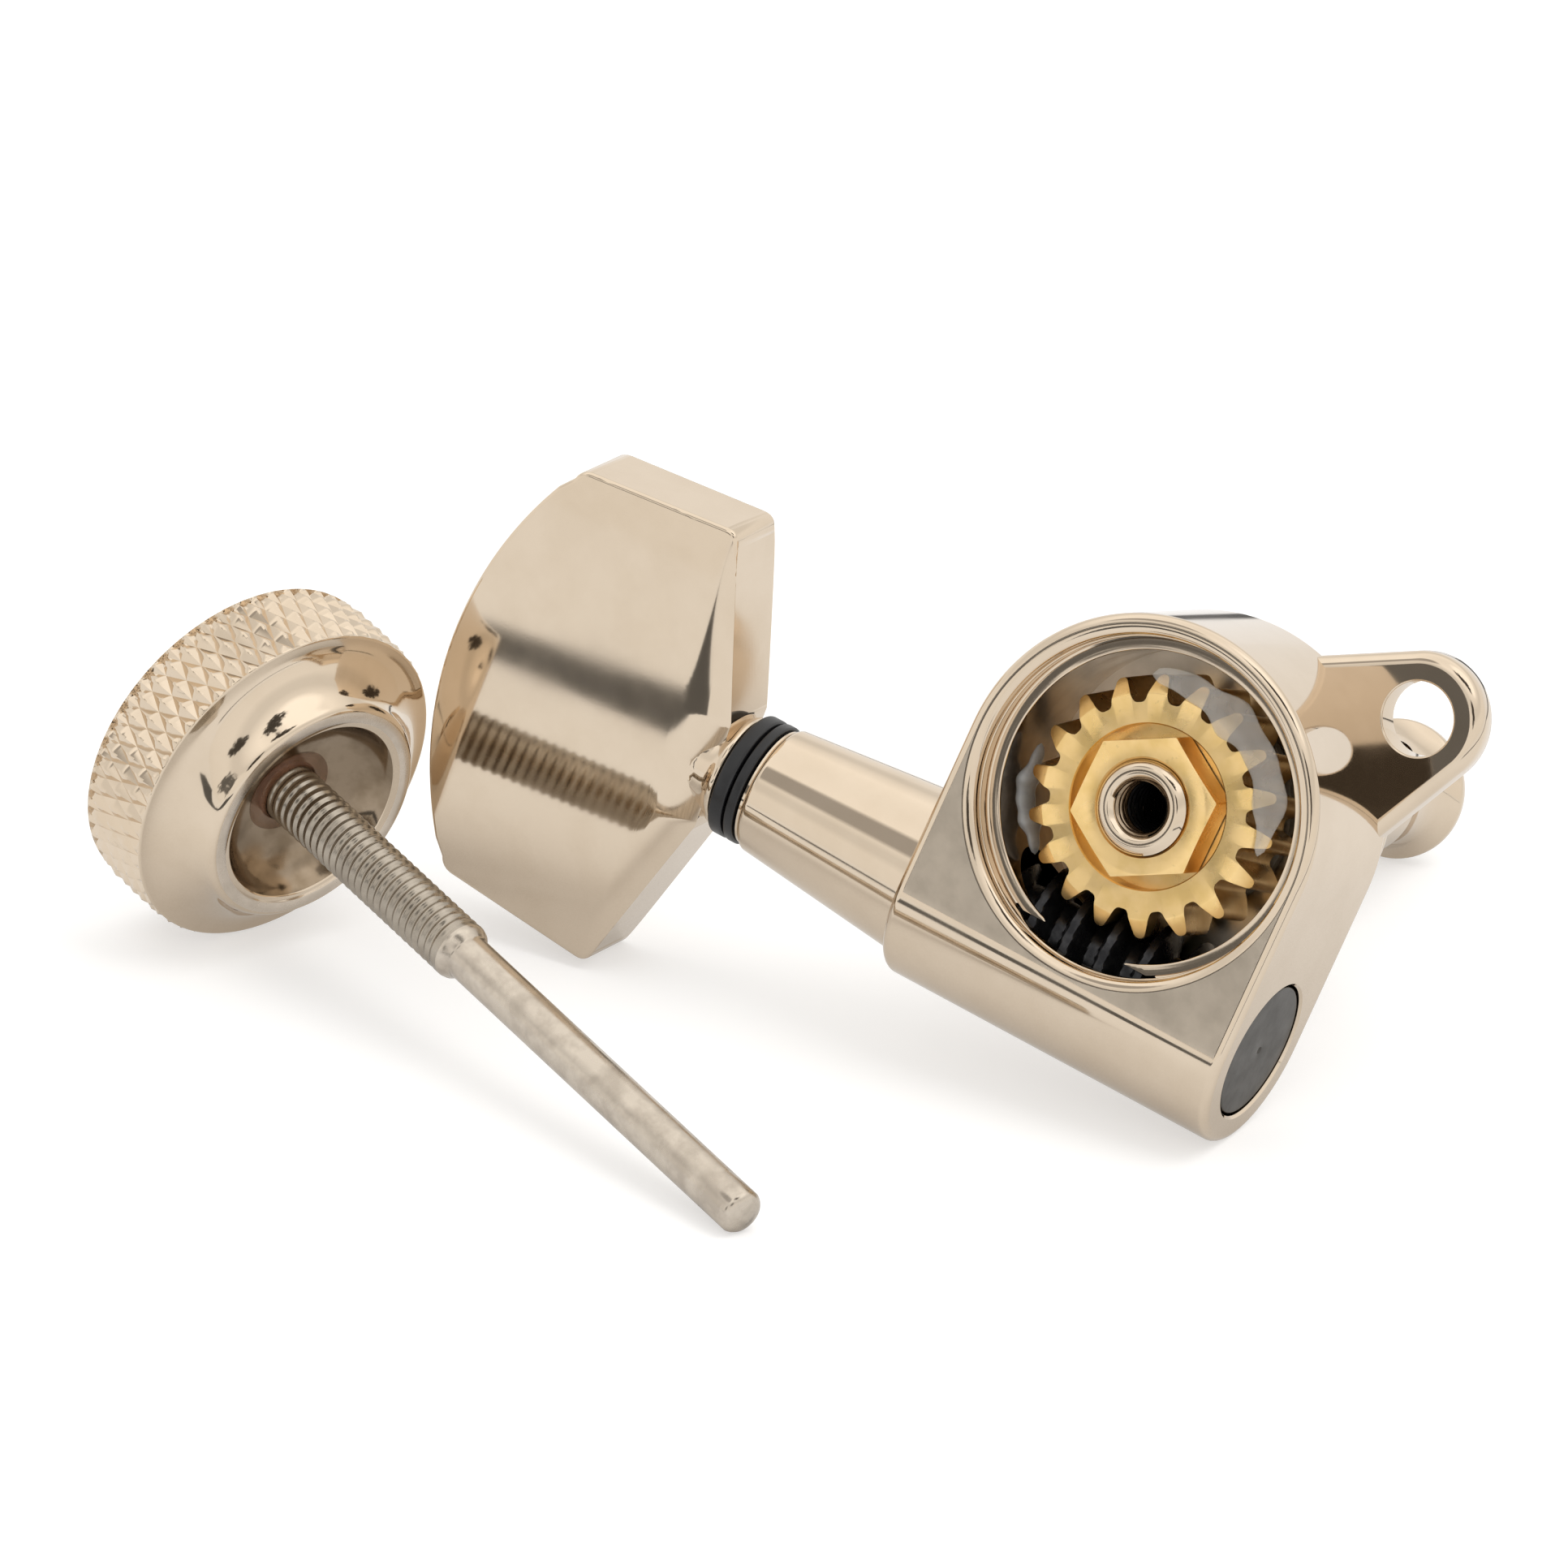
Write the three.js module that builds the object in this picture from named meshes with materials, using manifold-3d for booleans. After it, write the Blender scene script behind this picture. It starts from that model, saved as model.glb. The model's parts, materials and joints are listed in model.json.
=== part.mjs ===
// A back-locking guitar tuning machine, lying on a table with its locking screw taken out beside it.
// Millimetres, Z up. Each piece is first made in a frame of its own and then laid on the table.
// Tuner frame: X along the worm shaft towards the button, Z along the string post out of the open back,
// origin on the post's axis at the face that seats on the headstock.

import * as THREE from 'three';
import { mergeVertices } from 'three/addons/utils/BufferGeometryUtils.js';
import Module from 'manifold-3d';

const kernel = await Module();
kernel.setup();

// Housing
const housing_radius = 9.0;
const housing_depth = 9.6;
const housing_fillet = 0.45;
const floor_thickness = 1.5;
const well_radius_share = 0.809;
const lid_seat_radius_share = 0.8933;
const lid_seat_depth = 1.63;
const rim_chamfer_width = 0.5;
const rim_chamfer_depth = 0.2;
const neck_length = 9.3;
const neck_root_step = 0.75;
const neck_tip_radius = 3.1;
const neck_edge_round = 0.25;
const ear_thickness = 1.5;
const ear_round = 0.7;
const ear_tip_radius = 3.15;
const ear_hole_radius = 1.75;
const ear_stand = 2.65;
const ear_angle = 226.2;
const ear_flare_angle = 17;
const boss_radius = 4.95;
const boss_length = 6.8;
const boss_bore_radius = 3.95;
const boss_chamfer = 0.35;

// Gear pair
const tooth_count = 18;
const gear_tip_share = 0.842;
const gear_floor_gap = 0.41;
const gear_chamfer_width = 0.8;
const gear_chamfer_depth = 0.6;
const gear_back_depth = 1.77;
const gear_tooth_phase = 10;
const tooth_thickness_share = 0.435;
const tooth_outline_shares = [[0, 1], [0.17, 0.97], [0.29, 0.82], [0.435, 0.55], [0.6, 0.2], [0.82, 0]];
const tooth_pitch_share = 0.435;
const addendum_share = 1;
const dedendum_share = 1.2;
const nut_recess_share = 0.805;
const nut_recess_depth = 1.45;
const worm_pitch_radius = 2.733;
const worm_bore_clearance = 0.09;
const worm_tip_clearance = 0.11;
const worm_root_clearance = 0.16;
const worm_end_shoulder_length = 0.94;
const worm_profile_angle = 20;
const worm_thickness_share = 0.435;
const worm_end_taper = 0.9;
const worm_journal_radius = 1.3;
const worm_sides = 20;
const worm_spare_turns = 2;

// Shaft, neck and plug
const shaft_radius = 1.65;
const neck_bearing_wall = 0.6;
const thrust_washer_thickness = 0.5;
const worm_shoulder_length = 0.5;
const worm_end_washer_thickness = 0.5;
const plug_thickness = 1.9;
const plug_bore_depth = 1.3;
const plug_recess = 0.12;
const plug_dimple_radius = 0.22;
const plug_dimple_depth = 0.2;

// Washers at the neck and the button
const inner_washer_thickness = 0.5;
const outer_washer_thickness = 0.75;
const neck_washer_step = 0.05;
const inner_washer_chamfer = 0.1;
const outer_washer_chamfer = 0.15;
const button_thickness = 4.0;
const button_neck_length = 0.55;
const button_neck_radius = 2.7;
const button_waist_radius = 2.6;
const button_flare_radius = 2.75;
const button_waist_share = 0.5;
const button_flare_share = 0.1;
const button_shoulder_rise = 2.85;
const button_inner_half_width = 11.6;
const button_side_taper = 0.85;
const button_side_length = 8.4;
const button_crown = 3.2;
const button_corner_radius = 0.7;
const button_face_crown = 0.55;
const button_face_steps = 6;
const button_turn = 13;
const tang_radius = 1.3;
const tang_flat_offset = 0.95;
const tang_length = 8.5;

// String post and what sits on it
const post_thread_share = 0.608;
const post_thread_end_depth = 0.6;
const post_end_chamfer = 0.25;
const gear_seat_radius = 2.6;
const gear_seat_flat_offset = 2.1;
const post_radius = 3.0;
const post_length = 26.6;
const post_waist_radius = 2.5;
const post_waist_length = 4.6;
const post_head_radius = 3.35;
const post_head_length = 1.9;
const post_crown = 0.7;
const post_crown_shares = [[0, 0], [0.55, 0.2], [0.85, 0.55], [1, 1]];
const string_hole_radius = 0.95;
const lock_thread_radius = 1.3;
const lock_thread_depth = 9;
const lock_bore_radius = 1.25;
const lock_mouth_radius = 1.46;
const nut_recess_clearance = 0.23;
const nut_thickness = 2.05;
const nut_chamfer_share = 0.08;
const nut_turn = 29;
const floor_washer_radius = 5.0;
const floor_washer_thickness = 0.6;
const bushing_shank_length = 6.4;
const bushing_head_corner_radius = 5.7;
const bushing_head_thickness = 2.4;
const bushing_washer_radius = 6.4;
const bushing_washer_thickness = 0.6;
const bushing_washer_chamfer = 0.12;
const post_bearing_wall = 0.5;

// Locking screw
const wheel_radius = 8.45;
const wheel_knurl_width = 4.2;
const wheel_edge_chamfer = 0.3;
const wheel_land_radius = 8.05;
const wheel_boss_radius = 5.73;
const wheel_boss_height = 2.42;
const wheel_boss_wall = 1.05;
const wheel_boss_chamfer = 0.1;
const wheel_hollow_depth = 2.0;
const wheel_flank_sag = 0.22;
const wheel_flank_share = 0.82;
const wheel_back_crown = 0.35;
const wheel_back_shares = [0.58, 0.6];
const screw_thread_radius = 1.47;
const screw_thread_length = 14.65;
const screw_pin_radius = 1.12;
const screw_length = 36.2;
const screw_step_chamfer = 0.35;
const screw_tip_chamfer = 0.3;
const screw_seat_depth = 1.6;
const screw_heading = -51.5;
const screw_from_crown_x = -8.6;
const screw_from_crown_y = -6.42;

// Places shared by several pieces
const seat_gap = 0.12;
const running_gap = 0.08;
const thread_gap = 0.15;
const press_gap = 0.1;
const tuner_heading = 150;
const rest_lean_guess = new THREE.Vector3(0.21, -0.91, 0.36);
const overrun = 1;
const round_sides = 28;
const bore_sides = 24;
const fine_bore_sides = 16;
const body_sides = 48;
const wheel_sides = 52;
const wheel_flank_steps = 4;
const fillet_steps = 2;
const rest_search_count = 12;
const merge_distance = 1e-4;

const worm_height = housing_depth / 2;
const barrel_radius = housing_depth / 2;
const neck_root_radius = barrel_radius - neck_root_step;
const well_radius = housing_radius * well_radius_share;
const lid_seat_radius = housing_radius * lid_seat_radius_share;
const ear_reach = housing_radius + ear_stand;
const gear_tip_radius = well_radius * gear_tip_share;
const gear_module = gear_tip_radius / (tooth_count / 2 + addendum_share);
const pitch_radius = gear_module * tooth_count / 2;
const gear_root_radius = pitch_radius - dedendum_share * gear_module;
const gear_top = housing_depth - gear_back_depth;
const gear_bottom = floor_thickness + seat_gap + floor_washer_thickness + gear_floor_gap;
const gear_width = gear_top - gear_bottom;
const nut_recess_radius = gear_root_radius * nut_recess_share;
const nut_across_corners_radius = nut_recess_radius - nut_recess_clearance;
const post_thread_radius = nut_across_corners_radius * post_thread_share;
const worm_offset = pitch_radius + worm_pitch_radius;
const worm_pitch = Math.PI * gear_module;
const worm_tip_radius = worm_offset - gear_root_radius - worm_root_clearance;
const worm_root_radius = worm_offset - gear_tip_radius - worm_tip_clearance;
const worm_bore_radius = worm_tip_radius + worm_bore_clearance;
const plug_inner = plug_recess - housing_radius + plug_thickness;
const end_washer_stop = plug_inner + seat_gap + worm_end_washer_thickness;
const worm_half_length = -end_washer_stop - seat_gap - worm_end_shoulder_length;
const thrust_washer_start = worm_half_length + worm_shoulder_length + seat_gap;
const neck_bore_start = thrust_washer_start + thrust_washer_thickness + seat_gap;
const neck_end = housing_radius + neck_length;
const neck_washer_radius = neck_tip_radius - neck_washer_step;
const neck_bore_radius = shaft_radius + running_gap + neck_bearing_wall + press_gap;
const inner_washer_start = neck_end + seat_gap;
const outer_washer_start = inner_washer_start + inner_washer_thickness + seat_gap;
const button_start = outer_washer_start + outer_washer_thickness + seat_gap;
const button_face = button_start + button_neck_length;
const button_shoulder = button_face + button_shoulder_rise;
const button_outer = button_shoulder + button_side_length;
const button_outer_half_width = button_inner_half_width - button_side_taper;
const button_crown_x = button_outer + button_crown;
const floor_bore_radius = post_radius + running_gap + post_bearing_wall + press_gap;
const recess_floor = gear_top - nut_recess_depth;

const degrees = (angle) => THREE.MathUtils.degToRad(angle);

// A closed manifold solid from a three.js geometry, its faces turned outwards.
function solidOf(geometry) {
  const bare = geometry.index ? geometry.toNonIndexed() : geometry.clone();
  bare.deleteAttribute('normal');
  bare.deleteAttribute('uv');
  const merged = mergeVertices(bare, merge_distance);
  const points = merged.attributes.position;
  const order = merged.index.array;
  const triangles = [];
  let volume = 0;
  const [a, b, c] = [new THREE.Vector3(), new THREE.Vector3(), new THREE.Vector3()];
  for (let i = 0; i < order.length; i += 3) {
    const [p, q, r] = [order[i], order[i + 1], order[i + 2]];
    if (p === q || q === r || r === p) continue;
    a.fromBufferAttribute(points, p);
    b.fromBufferAttribute(points, q);
    c.fromBufferAttribute(points, r);
    volume += a.dot(b.cross(c));
    triangles.push([p, q, r]);
  }
  const triVerts = triangles.flatMap(([p, q, r]) => (volume < 0 ? [p, r, q] : [p, q, r]));
  const mesh = new kernel.Mesh({
    numProp: 3,
    vertProperties: new Float32Array(points.array),
    triVerts: new Uint32Array(triVerts),
  });
  return new kernel.Manifold(mesh);
}

// A three.js geometry from a manifold solid.
function geometryOf(solid) {
  const mesh = solid.getMesh();
  const geometry = new THREE.BufferGeometry();
  geometry.setAttribute('position', new THREE.BufferAttribute(new Float32Array(mesh.vertProperties), 3));
  geometry.setIndex(new THREE.BufferAttribute(new Uint32Array(mesh.triVerts), 1));
  geometry.computeVertexNormals();
  return geometry;
}

// A profile of [radius, height] points turned round Z.
function turned(profile, sides = round_sides) {
  const points = profile.map(([radius, height]) => new THREE.Vector2(radius, height));
  return new THREE.LatheGeometry(points, sides).rotateX(Math.PI / 2);
}

// A profile of [radius, place along X] points turned round X, at the worm's place in the housing.
function turnedAlongWorm(profile, sides = round_sides) {
  const points = profile.map(([radius, along]) => new THREE.Vector2(radius, along));
  const geometry = new THREE.LatheGeometry(points, sides).rotateZ(-Math.PI / 2);
  return geometry.translate(0, worm_offset, worm_height);
}

// A closed ring profile between two radii and two heights, with chamfered outer edges.
function ringProfile(inner, outer, low, high, chamfer = 0) {
  if (chamfer === 0) {
    return [[inner, low], [outer, low], [outer, high], [inner, high], [inner, low]];
  }
  const bottom = [[inner, low], [outer - chamfer, low], [outer, low + chamfer]];
  return [...bottom, [outer, high - chamfer], [outer - chamfer, high], [inner, high], [inner, low]];
}

// A plain disc profile that closes on the axis.
function discProfile(radius, low, high) {
  return [[0, low], [radius, low], [radius, high], [0, high]];
}

// Points on an arc of a profile, centre first, angles in degrees.
function arcPoints(centre_radius, centre_height, radius, from, to, steps = fillet_steps) {
  const points = [];
  for (let i = 0; i <= steps; i += 1) {
    const angle = degrees(from + (to - from) * i / steps);
    points.push([centre_radius + radius * Math.cos(angle), centre_height + radius * Math.sin(angle)]);
  }
  return points;
}

// A closed outline with rounded corners, from [x, y] corners that run anticlockwise.
function roundedShape(corners, radius) {
  const shape = new THREE.Shape();
  corners.forEach(([x, y], i) => {
    const before = corners[(i + corners.length - 1) % corners.length];
    const after = corners[(i + 1) % corners.length];
    const here = new THREE.Vector2(x, y);
    const back = new THREE.Vector2(...before).sub(here).setLength(radius).add(here);
    const on = new THREE.Vector2(...after).sub(here).setLength(radius).add(here);
    if (i === 0) shape.moveTo(back.x, back.y);
    else shape.lineTo(back.x, back.y);
    shape.quadraticCurveTo(here.x, here.y, on.x, on.y);
  });
  shape.closePath();
  return shape;
}

// A prism of a shape between two heights, its long edges rounded inside the outline.
function roundedPrism(shape, low, high, round, curveSegments) {
  const settings = {
    depth: high - low - 2 * round,
    bevelEnabled: true,
    bevelThickness: round,
    bevelSize: round,
    bevelOffset: -round,
    bevelSegments: fillet_steps,
    curveSegments,
  };
  return new THREE.ExtrudeGeometry(shape, settings).translate(0, 0, low + round);
}

// A hexagonal prism, its first corner on +X.
function hexagon(corner_radius, low, high) {
  return turned(discProfile(corner_radius, low, high), 6).rotateZ(-Math.PI / 2);
}

// A box that reaches from one corner to the other.
function boxBetween(from, to) {
  const size = to.map((value, i) => value - from[i]);
  const middle = to.map((value, i) => (value + from[i]) / 2);
  return new THREE.BoxGeometry(...size).translate(...middle);
}

// A round bar cut to a double flat across Y, for the button's tang.
function flattened(solid, half_width, from, to, reach) {
  const slab = boxBetween([from, worm_offset - reach, worm_height - half_width],
    [to, worm_offset + reach, worm_height + half_width]);
  return solid.intersect(solidOf(slab));
}

// The round-ended box of the housing, cut off where the worm's barrel takes over.
function housingSlab() {
  const shape = new THREE.Shape();
  const lower = worm_offset + housing_radius;
  shape.moveTo(housing_radius, lower);
  shape.lineTo(-housing_radius, lower);
  shape.lineTo(-housing_radius, 0);
  shape.absarc(0, 0, housing_radius, Math.PI, 2 * Math.PI, false);
  shape.closePath();
  const slab = roundedPrism(shape, -overrun, housing_depth, housing_fillet, body_sides / 2);
  const keep = boxBetween([-housing_radius - overrun, -housing_radius - overrun, 0],
    [housing_radius + overrun, worm_offset, housing_depth + overrun]);
  return solidOf(slab).intersect(solidOf(keep));
}

// The barrel round the worm, with rounded ends.
function wormBarrel() {
  const inside = barrel_radius - housing_fillet;
  const end = housing_radius - housing_fillet;
  const profile = [
    [0, -housing_radius],
    ...arcPoints(inside, -end, housing_fillet, -90, 0),
    ...arcPoints(inside, end, housing_fillet, 0, 90),
    [0, housing_radius],
  ];
  return solidOf(turnedAlongWorm(profile, body_sides));
}

// The tapered neck that carries the shaft to the button.
function neck() {
  const slope = (neck_root_radius - neck_tip_radius) / neck_length;
  const start = housing_radius - overrun;
  const edge = neck_end - neck_edge_round;
  const profile = [
    [0, start],
    [neck_root_radius + slope * overrun, start],
    [neck_tip_radius + slope * neck_edge_round, edge],
    [neck_tip_radius - neck_edge_round, neck_end],
    [0, neck_end],
  ];
  return solidOf(turnedAlongWorm(profile));
}

// The screw ear at the foot of the housing, its flanks opening towards the body.
function ear() {
  const flare = degrees(ear_flare_angle);
  const root_half = (ear_tip_radius + ear_reach * Math.sin(flare)) / Math.cos(flare);
  const shape = new THREE.Shape();
  shape.moveTo(0, -root_half);
  shape.lineTo(ear_reach + ear_tip_radius * Math.sin(flare), -ear_tip_radius * Math.cos(flare));
  shape.absarc(ear_reach, 0, ear_tip_radius, flare - Math.PI / 2, Math.PI / 2 - flare, false);
  shape.lineTo(0, root_half);
  shape.closePath();
  const plate = roundedPrism(shape, -ear_round, ear_thickness, ear_round, round_sides / 2);
  const keep = boxBetween([0, -housing_radius, 0],
    [ear_reach + ear_tip_radius + overrun, housing_radius, ear_thickness + overrun]);
  const hole = turned(discProfile(ear_hole_radius, -overrun, ear_thickness + overrun));
  const solid = solidOf(plate).intersect(solidOf(keep)).subtract(solidOf(hole.translate(ear_reach, 0, 0)));
  return solid.rotate([0, 0, ear_angle]);
}

// The well for the gear, with the seat for the wheel's rim and the chamfer at the back.
function gearWell() {
  const seat = housing_depth - lid_seat_depth;
  const slope = rim_chamfer_width / rim_chamfer_depth;
  const profile = [
    [0, floor_thickness],
    [well_radius, floor_thickness],
    [well_radius, seat],
    [lid_seat_radius, seat],
    [lid_seat_radius, housing_depth - rim_chamfer_depth],
    [lid_seat_radius + rim_chamfer_width + slope * overrun, housing_depth + overrun],
    [0, housing_depth + overrun],
  ];
  return solidOf(turned(profile, body_sides));
}

function housing() {
  const boss = turned([
    [0, -boss_length],
    [boss_radius - boss_chamfer, -boss_length],
    [boss_radius, boss_chamfer - boss_length],
    [boss_radius, floor_thickness / 2],
    [0, floor_thickness / 2],
  ]);
  const worm_bore = turnedAlongWorm([
    [0, -housing_radius - overrun],
    [worm_bore_radius, -housing_radius - overrun],
    [worm_bore_radius, neck_bore_start],
    [neck_bore_radius, neck_bore_start],
    [neck_bore_radius, neck_end + overrun],
    [0, neck_end + overrun],
  ]);
  const post_bore = turned([
    [0, -boss_length - overrun],
    [boss_bore_radius, -boss_length - overrun],
    [boss_bore_radius, 0],
    [floor_bore_radius, 0],
    [floor_bore_radius, floor_thickness + overrun],
    [0, floor_thickness + overrun],
  ]);
  const body = housingSlab().add(wormBarrel()).add(neck()).add(solidOf(boss)).add(ear());
  return body.subtract(gearWell()).subtract(solidOf(worm_bore)).subtract(solidOf(post_bore));
}

// A single-start thread round X between two places, as one closed skin that is trimmed afterwards.
function threadSkin(from, to, crest_place) {
  const flank = Math.tan(degrees(worm_profile_angle));
  const crest_half = (worm_thickness_share * worm_pitch) / 2 - (worm_tip_radius - worm_pitch_radius) * flank;
  const root_half = worm_pitch / 2 - crest_half - (worm_tip_radius - worm_root_radius) * flank;
  const stations = [
    [-crest_half, worm_tip_radius],
    [crest_half, worm_tip_radius],
    [worm_pitch / 2 - root_half, worm_root_radius],
    [worm_pitch / 2 + root_half, worm_root_radius],
  ];
  const sides = worm_sides;
  const first = Math.floor((from - crest_place) / worm_pitch) - worm_spare_turns;
  const last = Math.ceil((to - crest_place) / worm_pitch) + worm_spare_turns;
  const rows = [];
  for (let turn = first; turn <= last; turn += 1) {
    stations.forEach(([along, radius]) => rows.push([crest_place + turn * worm_pitch + along, radius]));
  }
  const positions = [];
  for (let side = 0; side < sides; side += 1) {
    const angle = Math.PI + 2 * Math.PI * side / sides;
    const advance = worm_pitch * side / sides;
    rows.forEach(([along, radius]) => {
      positions.push(along + advance);
      positions.push(worm_offset + radius * Math.cos(angle), worm_height + radius * Math.sin(angle));
    });
  }
  const row_count = rows.length;
  const at = (side, row) => (side < sides ? side * row_count + row : row + stations.length);
  const faces = [];
  for (let side = 0; side < sides; side += 1) {
    const limit = side < sides - 1 ? row_count - 1 : row_count - 1 - stations.length;
    for (let row = 0; row < limit; row += 1) {
      faces.push(at(side, row), at(side + 1, row), at(side + 1, row + 1));
      faces.push(at(side, row), at(side + 1, row + 1), at(side, row + 1));
    }
  }
  closeThreadEnds(positions, faces, rows, sides, stations.length);
  const geometry = new THREE.BufferGeometry();
  geometry.setAttribute('position', new THREE.Float32BufferAttribute(positions, 3));
  geometry.setIndex(faces);
  return solidOf(geometry);
}

// Fans from two points on the axis close the two spiral ends of a thread skin.
function closeThreadEnds(positions, faces, rows, sides, per_turn) {
  const row_count = rows.length;
  const low = [];
  const high = [];
  for (let side = 0; side < sides; side += 1) {
    low.push(side * row_count);
    high.push(side * row_count + row_count - 1);
  }
  for (let row = per_turn; row > 0; row -= 1) low.push(row);
  for (let row = 1; row <= per_turn; row += 1) high.push((sides - 1) * row_count + row_count - 1 - row);
  const centre_low = positions.length / 3;
  positions.push(rows[0][0], worm_offset, worm_height);
  const centre_high = centre_low + 1;
  positions.push(rows[row_count - 1][0] + worm_pitch, worm_offset, worm_height);
  low.forEach((vertex, i) => faces.push(centre_low, low[(i + 1) % low.length], vertex));
  high.forEach((vertex, i) => faces.push(centre_high, vertex, high[(i + 1) % high.length]));
}

// Where the worm's thread has to stand so that it meets the gear between two teeth.
function wormCrestPlace() {
  const lead = worm_pitch / (2 * Math.PI * worm_pitch_radius);
  const twist = (gear_top - gear_chamfer_depth - worm_height) * lead / pitch_radius;
  const tooth_step = 2 * Math.PI / tooth_count;
  const phase = (degrees(gear_tooth_phase) - twist) - Math.PI / 2;
  const from_worm = phase - Math.round(phase / tooth_step) * tooth_step;
  return -pitch_radius * from_worm - worm_pitch / 2 - worm_pitch * button_turn / 360;
}

// The worm with its journal, shoulders, long shaft and the flattened tang that carries the button.
function wormShaft() {
  const trim = solidOf(turnedAlongWorm([
    [0, -worm_half_length],
    [worm_root_radius, -worm_half_length],
    [worm_tip_radius + overrun, worm_end_taper - worm_half_length],
    [worm_tip_radius + overrun, worm_half_length - worm_end_taper],
    [worm_root_radius, worm_half_length],
    [0, worm_half_length],
  ]));
  const thread = threadSkin(-worm_half_length, worm_half_length, wormCrestPlace()).intersect(trim);
  const journal_end = plug_inner - plug_bore_depth + seat_gap;
  const shaft = solidOf(turnedAlongWorm([
    [0, journal_end],
    [worm_journal_radius, journal_end],
    [worm_journal_radius, end_washer_stop + seat_gap],
    [worm_root_radius, end_washer_stop + seat_gap],
    [worm_root_radius, worm_half_length + worm_shoulder_length],
    [shaft_radius, worm_half_length + worm_shoulder_length],
    [shaft_radius, button_start - seat_gap],
    [tang_radius, button_start - seat_gap],
    [tang_radius, button_start + tang_length],
    [0, button_start + tang_length],
  ]));
  const tang_start = button_start - seat_gap;
  const tang_end = button_start + tang_length;
  const cut = 2 * tang_radius;
  const above = boxBetween([tang_start, worm_offset - cut, worm_height + tang_flat_offset],
    [tang_end + overrun, worm_offset + cut, worm_height + cut]);
  const below = boxBetween([tang_start, worm_offset - cut, worm_height - cut],
    [tang_end + overrun, worm_offset + cut, worm_height - tang_flat_offset]);
  return thread.add(shaft).subtract(solidOf(above)).subtract(solidOf(below));
}

// The gear: a toothed prism, slanted to the worm's lead, inside a blank with chamfered ends.
function wormWheel() {
  const step = 2 * Math.PI / tooth_count;
  const scale = tooth_thickness_share / tooth_pitch_share;
  const half = tooth_outline_shares.map(([across, up]) => {
    const angle = Math.min(across * scale, 1) * step / 2;
    return [angle, gear_root_radius + up * (gear_tip_radius - gear_root_radius)];
  });
  const shape = new THREE.Shape();
  for (let tooth = 0; tooth < tooth_count; tooth += 1) {
    const middle = degrees(gear_tooth_phase) + tooth * step;
    const flank = [...half.slice(1).reverse().map(([angle, radius]) => [-angle, radius]), ...half];
    flank.forEach(([angle, radius], i) => {
      const x = radius * Math.cos(middle + angle);
      const y = radius * Math.sin(middle + angle);
      if (tooth === 0 && i === 0) shape.moveTo(x, y);
      else shape.lineTo(x, y);
    });
  }
  shape.closePath();
  const depth = gear_width + 2 * seat_gap;
  const prism = new THREE.ExtrudeGeometry(shape, { depth, bevelEnabled: false });
  prism.translate(0, 0, gear_bottom - seat_gap);
  const lead = worm_pitch / (2 * Math.PI * worm_pitch_radius);
  const spots = prism.attributes.position;
  const spot = new THREE.Vector3();
  for (let i = 0; i < spots.count; i += 1) {
    spot.fromBufferAttribute(spots, i);
    const twist = (spot.z - gear_top + gear_chamfer_depth) * lead / pitch_radius;
    spot.applyAxisAngle(new THREE.Vector3(0, 0, 1), twist);
    spots.setXYZ(i, spot.x, spot.y, spot.z);
  }
  const chamfer_radius = gear_tip_radius - gear_chamfer_width;
  const slope = gear_chamfer_width / gear_chamfer_depth;
  const blank = turned([
    [0, gear_bottom],
    [chamfer_radius, gear_bottom],
    [gear_tip_radius + slope * overrun, gear_bottom + gear_chamfer_depth + overrun],
    [gear_tip_radius + slope * overrun, gear_top - gear_chamfer_depth - overrun],
    [chamfer_radius, gear_top],
    [0, gear_top],
  ], body_sides);
  const recess = turned(discProfile(nut_recess_radius, recess_floor, gear_top + overrun));
  const toothed = solidOf(prism).intersect(solidOf(blank));
  return toothed.subtract(solidOf(recess)).subtract(gearSeat(press_gap, overrun));
}

// The flattened seat on the post for the gear, or the hole for it in the gear.
function gearSeat(gap, longer) {
  const low = gear_bottom - longer;
  const high = recess_floor + longer;
  const flat = gear_seat_flat_offset + gap;
  const round = turned(discProfile(gear_seat_radius + gap, low, high));
  const keep = boxBetween([-post_head_radius, -flat, low - overrun], [post_head_radius, flat, high + overrun]);
  return solidOf(round).intersect(solidOf(keep));
}

function stringPost() {
  const top = housing_depth - post_thread_end_depth;
  const waist_low = post_head_length - post_length;
  const waist_high = waist_low + post_waist_length;
  const middle = (waist_low + waist_high) / 2;
  const shoulder = gear_bottom - seat_gap;
  const profile = [
    ...post_crown_shares.map(([out, up]) => [post_head_radius * out, post_crown * up - post_length]),
    [post_head_radius, waist_low - post_crown],
    [post_waist_radius + (post_head_radius - post_waist_radius) / 3, waist_low],
    [post_waist_radius, middle],
    [post_waist_radius + (post_radius - post_waist_radius) / 3, waist_high - post_crown],
    [post_radius, waist_high],
    [post_radius, shoulder],
    [post_thread_radius, shoulder],
    [post_thread_radius, top - post_end_chamfer],
    [post_thread_radius - post_end_chamfer, top],
    [0, top],
  ];
  const mouth = lock_mouth_radius - lock_thread_radius;
  const bore = turned([
    [0, middle - string_hole_radius],
    [lock_bore_radius, middle - string_hole_radius],
    [lock_bore_radius, top - lock_thread_depth],
    [lock_thread_radius, top - lock_thread_depth],
    [lock_thread_radius, top - mouth],
    [lock_mouth_radius + overrun, top + overrun],
    [0, top + overrun],
  ], fine_bore_sides);
  const across = 2 * post_head_radius;
  const hole = turned(discProfile(string_hole_radius, -across, across), fine_bore_sides).rotateX(Math.PI / 2);
  const seat = gearSeat(0, 0);
  const flats = solidOf(turned(profile)).add(seat);
  return flats.subtract(solidOf(bore)).subtract(solidOf(hole.translate(0, 0, middle)));
}

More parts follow.
